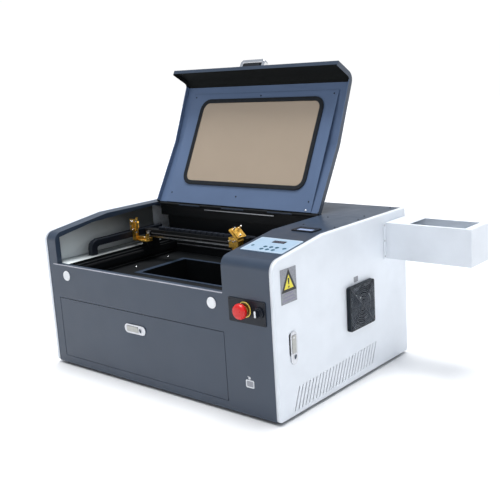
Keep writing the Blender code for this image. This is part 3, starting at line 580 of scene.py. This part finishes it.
def tilted_oval(u, v, half_u, half_v, tilt, steps=20):
    turn = math.radians(tilt)
    outline = []
    for a, b in circle(1.0, steps):
        a, b = a * half_u, b * half_v
        across = a * math.cos(turn) - b * math.sin(turn)
        upward = a * math.sin(turn) + b * math.cos(turn)
        outline.append((u + across, v + upward))
    return outline


def oval_ring(bm, axis, u, v, half_u, half_v, tilt, levels):
    """A raised rim round an oval: levels are the plate's face and the rim's top along the axis."""
    outer = tilted_oval(u, v, half_u + 1.3, half_v + 1.3, tilt)
    inner = tilted_oval(u, v, half_u, half_v, tilt)
    low, high = levels
    loops = [(outer, low), (outer, high), (inner, high), (inner, low)]
    loft(bm, [[along(axis, a, b, h) for a, b in loop] for loop, h in loops], ring=True)


def lock_fittings():
    """Each flush lock's oval keyhole in a raised rim, beside its paddle, and the paddle's small rivet."""
    face = span("door_lock_body")[0].y
    x, z, tilt = 408.5, 162.0, 24

    piece("door_lock_keyhole", "dark_blue", "door",
          lambda bm: prism(bm, tilted_oval(x, z, 4.2, 6.4, tilt), "y", face - 0.5, face - 0.03), edge=0.15)
    piece("door_lock_keyhole_rim", "grey_metal", "door",
          lambda bm: oval_ring(bm, "y", x, z, 4.2, 6.4, tilt, (face - 0.03, face - 0.9)), edge=0.2)
    face = span("side_lock_body")[1].x
    y, z = 66.8, 157.0
    piece("side_lock_keyhole", "dark_blue", "cabinet",
          lambda bm: prism(bm, tilted_oval(y, z, 4.4, 6.6, -28), "x", face + 0.03, face + 0.5), edge=0.15)
    piece("side_lock_keyhole_rim", "grey_metal", "cabinet",
          lambda bm: oval_ring(bm, "x", y, z, 4.4, 6.6, -28, (face + 0.03, face + 0.9)), edge=0.2)
    low, high = span("side_lock_lever")

    def rivet(bm):
        profile = [(2.6, high.x + 0.02), (2.6, high.x + 0.5), (1.8, high.x + 0.9)]
        lathe(bm, profile, "x", 62.5, high.z - 6.0, 16)

    piece("side_lock_rivet", "print_white", "side_lever", rivet, edge=0.2)
    surface = span("side_panel_right")[1].x

    # A dark strip under the lock and past the plate's left edge: painted shadow along that edge
    def lock_shadow_strip(bm):
        prism(bm, rounded(47.6, 74.0, 160.0, 222.0, 8.0), "x", surface + 0.02, surface + 0.25)

    piece("side_lock_painted_shadow", "rubber", "cabinet", lock_shadow_strip)


# ---------------------------------------------------------------- the column's top


KEYPAD_TOP = 2.3


def keypad_fittings():
    def display(bm):
        prism(bm, rounded(802, 842, 122, 137, 1.0), "z", KEYPAD_TOP + 0.05, KEYPAD_TOP + 0.45)

    piece("keypad_display", "window_dark", "cabinet", display, ON_SLOPE)

    def digits(bm):
        for i in range(4):
            x = 809 + 8.5 * i
            for s in (125.6, 129.4, 133.2):
                box(bm, x - 2.2, x + 2.2, s - 0.3, s + 0.3, KEYPAD_TOP + 0.45, KEYPAD_TOP + 0.55)
            for side in (-2.4, 2.4):
                box(bm, x + side - 0.3, x + side + 0.3, 126.0, 132.8, KEYPAD_TOP + 0.45, KEYPAD_TOP + 0.55)

    piece("keypad_digits", "print_grey", "cabinet", digits, ON_SLOPE)

    def printed(bm):
        start, end = KEYPAD_TOP + 0.02, KEYPAD_TOP + 0.14
        for radius, x, s in ((5.6, 866.0, 92.0), (4.6, 764.0, 92.5)):
            prism(bm, [(x + a, s + b) for a, b in circle(radius, 20)], "z", start, end)

    piece("keypad_print", "key_ink", "cabinet", printed, ON_SLOPE)

    def border(bm):
        outer, inner = rounded(750, 880, 62, 150, 3.0), rounded(750.8, 879.2, 62.8, 149.2, 2.6)
        loops = [outer, outer, inner, inner]
        levels = (KEYPAD_TOP + 0.02, KEYPAD_TOP + 0.1, KEYPAD_TOP + 0.1, KEYPAD_TOP + 0.02)
        loft(bm, [[(u, v, h) for u, v in loop] for loop, h in zip(loops, levels)], ring=True)

    piece("keypad_border", "print_white", "cabinet", border, ON_SLOPE)


def meter_fittings():
    low, high = span("panel_meter")
    top = high.z

    # The meter's pale face is given a faint glow: painted light
    def face(bm):
        box(bm, low.x + 12.5, high.x - 7.5, low.y + 6.5, high.y - 18.5, top - 1.9, top - 0.9)

    piece("meter_face", "meter_glow_blue", "cabinet", face, edge=0.15)

    def marks(bm):
        for i in range(11):
            x = low.x + 18 + 4.2 * i
            deep = 4.5 if i % 5 == 0 else 2.6
            box(bm, x - 0.3, x + 0.3, high.y - 20.5 - deep, high.y - 20.5, top - 0.9, top - 0.75)

    piece("meter_marks", "sign_black", "cabinet", marks)

    def screws(bm):
        for y in (low.y + 5, high.y - 5):
            for x in (low.x + 5, high.x - 4):
                screw_head(bm, "z", x, y, top, 1, 1.8)

    piece("meter_screws", "black_plastic", "cabinet", screws)

    def deck_screws(bm):
        for x, y in ((770, 304), (872, 304), (770, 420), (872, 420)):
            screw_head(bm, "z", x, y, 440.0, 1, 2.6)

    piece("column_screws", "black_plastic", "cabinet", deck_screws)


# ---------------------------------------------------------------- right side


def side_fittings():
    """A generic hazard plate, a small rating plate, fan screws and the tube box's screws."""
    low, high = span("warning_label")
    face = high.x
    cy, top, foot, half = 57.0, 386.5, 329.0, 30.0

    def triangle(scale):
        mid = foot + (top - foot) / 3
        corners = ((cy, top), (cy - half, foot), (cy + half, foot))
        return [(cy + (y - cy) * scale, mid + (z - mid) * scale) for y, z in corners]

    piece("hazard_border", "sign_black", "cabinet",
          lambda bm: prism(bm, triangle(1.0), "x", face + 0.02, face + 0.12))
    piece("hazard_field", "sign_yellow", "cabinet",
          lambda bm: prism(bm, triangle(0.62), "x", face + 0.12, face + 0.22))

    def mark(bm):
        prism(bm, [(53.6, 363), (60.4, 363), (59.0, 347), (55.0, 347)], "x", face + 0.22, face + 0.32)
        prism(bm, [(57.0 + a, 340.8 + b) for a, b in circle(2.8, 14)], "x", face + 0.22, face + 0.32)

    piece("hazard_mark", "sign_black", "cabinet", mark)

    def lines(bm):
        for y0, y1, z in ((41, 72, 325), (36, 76, 316), (32, 82, 308)):
            box(bm, face + 0.02, face + 0.1, y0, y1, z - 1.3, z + 1.3)

    piece("hazard_lines", "print_grey", "cabinet", lines)
    surface = span("side_panel_right")[1].x

    def rating(bm):
        prism(bm, rounded(345, 366, 281, 296, 1.5), "x", surface + 0.02, surface + 0.3)

    piece("rating_plate", "label_foil", "cabinet", rating)
    low, high = span("fan_guard")

    def fan_screws(bm):
        for y in (low.y + 9.5, high.y - 9.5):
            for z in (low.z + 9.5, high.z - 9.5):
                screw_head(bm, "x", y, z, high.x, 1, 2.8)

    piece("fan_guard_screws", "black_plastic", "cabinet", fan_screws)
    fan_y, fan_z, half = (low.y + high.y) / 2, (low.z + high.z) / 2, (high.y - low.y) / 2 - 4.0

    def fan_wires(bm):
        for n in range(13):
            ring_radius = 7.5 + 5.1 * n
            clear = 0.0 if ring_radius <= half else math.degrees(math.acos(half / ring_radius))
            for quarter in range(4):
                start, end = 90.0 * quarter + clear + 1.0, 90.0 * (quarter + 1) - clear - 1.0
                path = []
                for i in range(13):
                    t = math.radians(start + (end - start) * i / 12)
                    y, z = fan_y + ring_radius * math.cos(t), fan_z + ring_radius * math.sin(t)
                    path.append((high.x + 0.4, y, z))
                sweep(bm, path, 0.75, 5)

    piece("fan_guard_wires", "wire_grey", "cabinet", fan_wires)

    def fan_spokes(bm):
        reach = half * 0.96
        for up in (1, -1):
            ends = [(high.x + 0.7, fan_y + reach * way, fan_z + reach * up * way) for way in (-1, 1)]
            sweep(bm, ends, 1.5, 6)

    piece("fan_guard_spokes", "spoke_dark", "cabinet", fan_spokes)
    low, high = span("tube_extension")
    flange = low.x + 2.0

    def box_screws(bm):
        for y in (low.y + 5.5, high.y - 5.5):
            for z in (low.z + 7, (low.z + high.z) / 2, high.z - 7):
                screw_head(bm, "x", y, z, flange, 1, 2.8)

    piece("tube_box_screws", "steel", "cabinet", box_screws)


def rear_fittings():
    """Power inlet with its switch, hose barbs and screws of the rear panel and the top cover."""
    back = span("rear_panel")[1].y

    def inlet(bm):
        outer = rounded(396, 452, 96, 128, 3.0)
        inner = rounded(402, 430, 102, 122, 2.0)
        prism(bm, outer, "y", back + 0.05, back + 2.5)
        prism(bm, inner, "y", back + 2.5, back + 4.0)
        prism(bm, rounded(435, 448, 102, 122, 2.0), "y", back + 2.5, back + 5.0)

    piece("power_inlet", "black_plastic", "cabinet", inlet, edge=0.4)

    def barbs(bm):
        for x in (470.0, 505.0):
            profile = [(8, back), (8, back + 4), (5.5, back + 4), (5.5, back + 8), (4.2, back + 9)]
            profile += [(5.0, back + 10), (4.0, back + 13), (5.0, back + 13.2)]
            profile += [(4.0, back + 16), (3.0, back + 16)]
            lathe(bm, profile, "y", x, 110.0, 18)

    piece("water_barbs", "steel", "cabinet", barbs)
    outlet_x, outlet_z, pitch_radius = 200, 130, 58

    def outlet_screws(bm):
        for turn in (45, 135, 225, 315):
            x = outlet_x + pitch_radius * math.cos(math.radians(turn))
            z = outlet_z + pitch_radius * math.sin(math.radians(turn))
            screw_head(bm, "y", x, z, back + 3.0, 1, 2.6)

    piece("exhaust_screws", "steel", "cabinet", outlet_screws)

    def panel_screws(bm):
        for x in (30, 310, 590, 870):
            for z in (14, 420):
                screw_head(bm, "y", x, z, back, 1, 3.0)

    piece("rear_panel_screws", "steel", "cabinet", panel_screws)

    def cover_screws(bm):
        for x in (40, 300, 600, 860):
            for y in (470, 612):
                screw_head(bm, "z", x, y, span("tube_cover")[1].z, 1, 2.8)

    piece("tube_cover_screws", "black_plastic", "cabinet", cover_screws)


# ---------------------------------------------------------------- lid


def lid_fittings():
    """The handle's grip, the inner sheet's screws and a bead round the pane's channel."""

    def grip(bm):
        prism(bm, rounded(353.4, 421.0, 331.0, 349.0, 5.0), "y", -24.0, -1.2)

    piece("handle_grip", "rubber", "lid", grip, LID_OPEN, edge=1.8)

    def fasteners(bm):
        for x, v in ((104, 33), (676, 33), (104, 375), (676, 375), (391, 375), (391, 33)):
            screw_head(bm, "z", x, -v, PANEL_FACE, -1, 2.6)

    piece("lid_panel_screws", "black_plastic", "lid", fasteners, ON_PANEL)

    def bright(bm):
        screw_head(bm, "z", 672, -6, PANEL_FACE, -1, 3.2)

    piece("lid_earth_screw", "chrome", "lid", bright, ON_PANEL)

    def groove(bm):
        outer = rounded(143.5, 646.5, -362.5, -68.0, 34.5, 8)
        inner = rounded(146.0, 644.0, -360.0, -70.5, 32.0, 8)
        base, crest = PANEL_FACE - 3.45, PANEL_FACE - 4.1
        loops = [(outer, base), (outer, crest), (inner, crest), (inner, base)]
        loft(bm, [[(u, v, h) for u, v in loop] for loop, h in loops], ring=True)

    piece("gasket_bead", "rubber", "lid", groove, ON_PANEL)


# The lip, up to this depth, and the knuckles get a black skin of painted shade
LIP_SHADE_TO = 22.0
LINED_TO = 432.0
SKIN_LIFTS = (0.06, 0.31)
KNUCKLE_LIFTS = (0.02, 0.10)


def lid_linings():
    """Thin skins on the shell's inner faces: black painted shade in its lip and on its knuckles, panel paint
    between.
    """
    within = at(391.0, 230.0, 400.0)
    lip_shade_end, lined_end = at(0, LIP_SHADE_TO, 0), at(0, LINED_TO, 0)
    shell = bmesh.new()
    shell.from_mesh(frame["nodes"]["lid_shell"].data)
    shell.transform(LID_OPEN.inverted())
    for end in (lip_shade_end, lined_end):
        everything = shell.verts[:] + shell.edges[:] + shell.faces[:]
        bmesh.ops.bisect_plane(shell, geom=everything, plane_co=end, plane_no=(0, 1, 0))
    skins = {"lid_painted_shade": bmesh.new(), "lid_inner_paint": bmesh.new()}
    for face in shell.faces:
        centre = face.calc_center_median()
        if face.normal.dot(within - centre) <= 0:
            continue
        rearmost = centre.y > lined_end.y
        # The lip and the knuckles get black painted shade, and the faces between get panel paint
        name = "lid_painted_shade" if rearmost or centre.y < lip_shade_end.y else "lid_inner_paint"
        lifts = KNUCKLE_LIFTS if rearmost else SKIN_LIFTS
        loft(skins[name], [[vert.co + face.normal * lift * MM for vert in face.verts] for lift in lifts])
    shell.free()
    for name, slot, finish in (("lid_painted_shade", "rubber", "painted_shade_black"), ("lid_inner_paint", "lid_paint", "lid_paint")):
        made = bpy.data.meshes.new(name)
        bmesh.ops.recalc_face_normals(skins[name], faces=skins[name].faces)
        skins[name].to_mesh(made)
        skins[name].free()
        made.transform(LID_OPEN)
        made.materials.append(MATERIALS[finish])
        obj = bpy.data.objects.new(name, made)
        bpy.context.scene.collection.objects.link(obj)
        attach(obj, "lid")


# ---------------------------------------------------------------- inside


def belt_run(bm, axis, start, end, across, low, high):
    """One run of toothed belt: a thin strip with a row of teeth on one side."""
    pitch, back, crest, slant = 5.0, 0.9, 1.8, 0.4
    count = int((end - start) / pitch)
    strip = [(start, 0.0), (end, 0.0), (end, back)]
    for i in range(count):
        u = end - pitch * (i + 0.5)
        foot = u - pitch * 0.5
        strip += [(u, back), (u - slant, crest), (foot + slant, crest), (foot, back)]
    strip.append((start, back))
    outline = [(u, across - v) for u, v in strip]
    if axis == "x":
        prism(bm, outline, "z", low, high)
    else:
        prism(bm, [(v, u) for u, v in outline], "z", low, high)


def gantry_fittings():
    """The head's belt, rail and pulleys, its motor under the beam, and the drag chain on top."""
    low, high = span("gantry_beam")

    def belt(bm):
        belt_run(bm, "x", low.x + 34, high.x - 34, low.y - 1.2, 352.0, 358.0)

    piece("head_belt", "belt", "gantry", belt)

    def rail(bm):
        box(bm, low.x + 30, high.x - 30, low.y - 0.9, low.y - 0.1, 343.0, 348.0)

    piece("head_rail", "steel", "gantry", rail, edge=0.2)

    def pulleys(bm):
        profile = [(7.5, 348), (7.5, 349), (6, 349.2), (6, 359.8), (7.5, 360), (7.5, 361)]
        for x in (low.x + 26, high.x - 26):
            lathe(bm, profile, "z", x, low.y - 8.0)
            box(bm, x - 6, x + 6, low.y - 12, low.y, 361.4, 364.4)

    piece("belt_pulleys", "steel", "gantry", pulleys, edge=0.2)

    def motor(bm):
        middle = (low.y + high.y) / 2
        box(bm, 774.0, 816.0, middle - 21.0, middle + 21.0, low.z - 42.0, low.z - 2.3)
        box(bm, 772.0, 818.0, middle - 23.0, middle + 23.0, low.z - 2.3, low.z - 0.3)

    piece("head_motor", "black_plastic", "gantry", motor, edge=2.0)

    def chain(bm):
        for i in range(26):
            x = 150.0 + 24.0 * i
            box(bm, x, x + 20.0, high.y - 18, high.y - 4, high.z + 0.3, high.z + 9.0)
            box(bm, x + 18.0, x + 26.0, high.y - 15.5, high.y - 6.5, high.z + 2.0, high.z + 7.3)

    piece("drag_chain", "black_plastic", "gantry", chain, edge=0.6)


def thumb_screw(bm, axis, u, v, start, way, radius=3.6):
    """A knurled adjusting screw with a coil spring behind its head."""
    steps = 24
    loops = []
    for r, h in ((1.4, 0.0), (1.4, 6.0), (radius, 6.0), (radius, 11.0), (radius - 0.7, 11.6)):
        ring = []
        for i, (a, b) in enumerate(circle(1.0, steps)):
            knurl = r * (0.9 if i % 2 and r > 2 else 1.0)
            ring.append(along(axis, u + a * knurl, v + b * knurl, start + way * h))
        loops.append(ring)
    loft(bm, loops)
    turns, per_turn = 4, 10
    path = []
    for i in range(turns * per_turn + 1):
        angle = 2 * math.pi * i / per_turn
        height = start + way * (0.5 + 5.0 * i / (turns * per_turn))
        path.append(along(axis, u + 2.3 * math.cos(angle), v + 2.3 * math.sin(angle), height))
    sweep(bm, path, 0.35, 5)


def mirror_fittings(name, body, x, y, z, degrees, behind):
    """Mirror disc and clamp ring on a holder's face, drawn facing -y and turned, with adjusters behind."""
    place = about(at(x, y, 0), degrees, "Z")

    def disc(bm):
        lathe(bm, [(9.5, y - 0.6), (9.5, y - 0.2), (9.0, y - 0.2)], "y", x, z, 28)

    def ring(bm):
        profile = [(12.5, 0.1), (12.5, 1.8), (11.8, 2.4), (10.0, 2.4), (9.6, 0.7), (9.6, 0.1)]
        loft(bm, [[(x + a, y - h, z + b) for a, b in circle(r, 28)] for r, h in profile], ring=True)

    def screws(bm):
        for dx, dz in ((-14, -13), (14, -13), (-14, 13)):
            thumb_screw(bm, "y", x + dx, z + dz, y + behind, 1)

    piece(f"{name}_disc", "mirror", body, disc, place)
    piece(f"{name}_ring", "gold_metal", body, ring, place, edge=0.2)
    piece(f"{name}_adjusters", "chrome", body, screws, place)


BEAM_HEIGHT = 384.0


def optics():
    """The mirrors turn the beam from the tube's end forward, across the gantry, and down through the lens."""
    mirror_fittings("mirror1", "cabinet", 76.0, 565.0, BEAM_HEIGHT, 45, 7.2)
    mirror_fittings("mirror2", "gantry", 76.0, 318.0, BEAM_HEIGHT, 135, 7.2)
    face = span("mirror2_mount")[0].y

    def plate_screws(bm):
        for screw_x, z in ((62.5, 363.0), (62.5, 381.0), (62.5, 399.0), (89.0, 399.0), (89.0, 363.0)):
            screw_head(bm, "y", screw_x, z, face, -1, 2.6)
        for screw_x in (108.0, 130.0):
            screw_head(bm, "z", screw_x, 313.8, 346.0, 1, 2.8)

    piece("mirror2_plate_screws", "chrome", "gantry", plate_screws)

    def slot_plate(bm):
        outer = rounded(67.0, 85.0, 366.0, 396.0, 4.0)
        inner = rounded(71.5, 80.5, 371.0, 391.0, 3.0)
        loops = [(outer, face - 0.05), (outer, face - 2.2), (inner, face - 2.2), (inner, face - 0.05)]
        loft(bm, [[(u, h, v) for u, v in loop] for loop, h in loops], ring=True)

    piece("mirror2_slot_plate", "gold_metal", "gantry", slot_plate, edge=0.3)

    def foot(bm):
        box(bm, 96.0, 138.0, 296.0, 307.7, 334.5, 339.0)
        box(bm, 134.0, 138.0, 296.0, 307.7, 339.0, 360.0)

    piece("mirror2_foot", "gold_metal", "gantry", foot, edge=0.4)
    low, high = span("head_nozzle")
    x, y = (low.x + high.x) / 2, (low.y + high.y) / 2
    tilt = about(at(x, 0, BEAM_HEIGHT), 45, "Y")

    def adjuster_plate(bm):
        box(bm, 491.0, 528.0, 299.0, 336.0, 395.0, 398.0)

    def adjusters(bm):
        for screw_x, screw_y in ((496.0, 304.0), (523.0, 304.0), (496.0, 331.0)):
            thumb_screw(bm, "z", screw_x, screw_y, 398.1, 1, 3.0)
            lathe(bm, [(1.4, 391.2), (1.4, 394.9)], "z", screw_x, min(screw_y, 321.0), 10)

    piece("mirror3_adjuster_plate", "gold_metal", "head", adjuster_plate, tilt, edge=0.5)
    piece("mirror3_adjusters", "chrome", "head", adjusters, tilt)

    def collars(bm):
        profile = [(11.2, 0.0), (13.6, 0.0), (14.2, 0.6), (14.2, 3.6), (13.6, 4.2), (11.2, 4.2)]
        for z in (303.0, 318.0, 330.0, 342.0):
            lathe(bm, [(radius, z + h) for radius, h in profile], "z", x, y, 28)

    piece("nozzle_collars", "gold_metal", "head", collars, edge=0.15)

    def focus_screw(bm):
        thumb_screw(bm, "x", y, 336.0, x + 13.0, 1)
        thumb_screw(bm, "y", x - 9, 371.0, 300.0, -1, 3.0)
        thumb_screw(bm, "y", x + 9, 371.0, 300.0, -1, 3.0)

    piece("head_adjusters", "chrome", "head", focus_screw)

    def air_hose(bm):
        path = []
        for i in range(13):
            t = i / 12
            path.append((x + 14 + 22 * math.sin(math.pi * t), y + 4 + 22 * t, 300 + 84 * t))
        sweep(bm, path, 2.2, 8)

    piece("air_hose", "black_plastic", "head", air_hose)


TUB_FLOOR = 268.0
PIT_LOW = (220.0, 180.0)
PIT_HIGH = (684.0, 380.0)


def frame_outline(low, high):
    (x0, y0), (x1, y1) = low, high
    return [(x0, y0), (x1, y0), (x1, y1), (x0, y1)]


def chamber_fittings():
    """Screws and rims of the work tub, rails on its rear wall, the side belts, and a pale skin with painted shade
    on the left wall.
    """

    def floor_screws(bm):
        for x, y in ((148, 232), (140, 381), (206, 345), (150, 90), (760, 90), (760, 232), (760, 381)):
            screw_head(bm, "z", x, y, TUB_FLOOR, 1, 3.4)

    piece("tub_screws", "chrome", "cabinet", floor_screws)

    def pit_rim(bm):
        outer = frame_outline((PIT_LOW[0] - 16, PIT_LOW[1] - 8), (PIT_HIGH[0] + 8, PIT_HIGH[1] + 8))
        inner = frame_outline((PIT_LOW[0] + 2, PIT_LOW[1] + 2), (PIT_HIGH[0] - 2, PIT_HIGH[1] - 2))
        base, crest = TUB_FLOOR + 0.05, TUB_FLOOR + 1.6
        loops = [(outer, base), (outer, crest), (inner, crest), (inner, base)]
        loft(bm, [[(u, v, h) for u, v in loop] for loop, h in loops], ring=True)

    piece("pit_rim", "slate_paint", "cabinet", pit_rim, edge=0.4)
    leaf = span("lid_hinge")[0].y

    def seal_strip(bm):
        box(bm, 271.0, 560.0, leaf - 1.4, leaf - 0.2, 424.5, 427.0)

    piece("lid_seal_strip", "grey_metal", "cabinet", seal_strip, edge=0.3)
    wall = 451.7

    def wall_rail(bm):
        box(bm, 118.0, 800.0, wall - 4.0, wall - 0.3, 330.0, 334.0)
        box(bm, 118.0, 800.0, wall - 3.0, wall - 0.3, 296.0, 299.0)

    piece("rear_wall_rails", "grey_metal", "cabinet", wall_rail, edge=0.5)
    skin = span("side_panel_left")[1].x

    # A thin pale sheet on the left wall's inner face, carrying painted shade that darkens toward the rear and top
    def left_wall_shade_sheet(bm):
        outline = [(4.0, 317.6), (446.0, 317.6), (446.0, 437.0), (214.0, 437.0)]
        outline += [(30.0, 408.0), (10.0, 396.0), (4.0, 380.0)]
        prism(bm, outline, "x", skin + 0.03, skin + 0.25)

    piece("left_wall_painted_shade", "painted_shade_white", "cabinet", left_wall_shade_sheet)

    def side_belts(bm):
        for x in (112.8, 827.2):
            belt_run(bm, "y", 60.0, 300.0, x, 300.0, 306.0)

    piece("gantry_belts", "belt", "cabinet", side_belts)

    def lamp(bm):
        lathe(bm, [(3.0, 317.4), (3.0, 321.0), (2.2, 322.5)], "z", 100.0, 447.5, 12)

    piece("beam_sensor_lamp", "green_glow", "cabinet", lamp)

    def wire(bm):
        path = [(50 + 2 * math.sin(i * 0.9), 150 + 24 * i, 365.9) for i in range(12)]
        sweep(bm, path, 1.3, 6)

    piece("duct_wire", "rubber", "cabinet", wire)


# ---------------------------------------------------------------- floor, light and camera

SKY = (0.44, 0.47, 0.52)
HORIZON_TOP = 0.10
HORIZON_FADE = 0.12
SKY_STRENGTH = 1.02
SUN_SPREAD = 34.0
SUN_STRENGTH = 3.5
SUN_WAY = (0.03, -0.04, -1.0)


def build_stage():
    floor = Finish("floor", (0.88, 0.88, 0.88), 0.6).shades(400.0, 0.995, 1.0)
    bm = bmesh.new()
    bmesh.ops.create_grid(bm, x_segments=4, y_segments=4, size=14.0)
    mesh = bpy.data.meshes.new("floor")
    bm.to_mesh(mesh)
    bm.free()
    mesh.materials.append(floor.material)
    obj = bpy.data.objects.new("floor", mesh)
    obj.location.z = FLOOR
    bpy.context.scene.collection.objects.link(obj)


def build_light():
    """A soft sky that is white near the horizon, and a broad light almost straight above."""
    world = bpy.data.worlds.new("studio")
    world.use_nodes = True
    tree = world.node_tree
    height = tree.nodes.new("ShaderNodeSeparateXYZ")
    tree.links.new(tree.nodes.new("ShaderNodeTexCoord").outputs["Generated"], height.inputs["Vector"])
    ramp = tree.nodes.new("ShaderNodeValToRGB")
    ramp.color_ramp.elements[0].position = HORIZON_TOP
    ramp.color_ramp.elements[0].color = (1.0, 1.0, 1.0, 1.0)
    ramp.color_ramp.elements[1].position = HORIZON_TOP + HORIZON_FADE
    ramp.color_ramp.elements[1].color = (*SKY, 1.0)
    tree.links.new(height.outputs["Z"], ramp.inputs["Fac"])
    background = tree.nodes["Background"]
    background.inputs["Strength"].default_value = SKY_STRENGTH
    tree.links.new(ramp.outputs["Color"], background.inputs["Color"])
    bpy.context.scene.world = world
    data = bpy.data.lights.new("overhead", "SUN")
    data.angle = math.radians(SUN_SPREAD)
    data.energy = SUN_STRENGTH
    sun = bpy.data.objects.new("overhead", data)
    sun.rotation_euler = Vector(SUN_WAY).to_track_quat("-Z", "Y").to_euler()
    bpy.context.scene.collection.objects.link(sun)
    bpy.context.scene.view_settings.view_transform = "Standard"


CAMERA_PLACE = (1.5097, -1.7723, 0.8757)
CAMERA_YAW = 40.75
CAMERA_PITCH = -12.56
CAMERA_ROLL = -3.50
CAMERA_LENS = 58.78


def build_camera():
    yaw, pitch, roll = (math.radians(a) for a in (CAMERA_YAW, CAMERA_PITCH, CAMERA_ROLL))
    ahead = Vector((-math.sin(yaw) * math.cos(pitch), math.cos(yaw) * math.cos(pitch), math.sin(pitch)))
    level = ahead.cross(Vector((0, 0, 1))).normalized()
    upright = level.cross(ahead)
    right = level * math.cos(roll) + upright * math.sin(roll)
    up = upright * math.cos(roll) - level * math.sin(roll)
    data = bpy.data.cameras.new("camera")
    data.lens = CAMERA_LENS
    data.sensor_width = 36.0
    data.clip_end = 60.0
    camera = bpy.data.objects.new("camera", data)
    facing = Matrix((right, up, -ahead)).transposed().to_4x4()
    camera.matrix_world = Matrix.Translation(CAMERA_PLACE) @ facing
    bpy.context.scene.collection.objects.link(camera)
    bpy.context.scene.camera = camera


def main():
    dress_nodes()
    front_fittings()
    lock_fittings()
    keypad_fittings()
    meter_fittings()
    side_fittings()
    rear_fittings()
    lid_fittings()
    lid_linings()
    gantry_fittings()
    optics()
    chamber_fittings()
    build_stage()
    build_light()
    build_camera()


main()
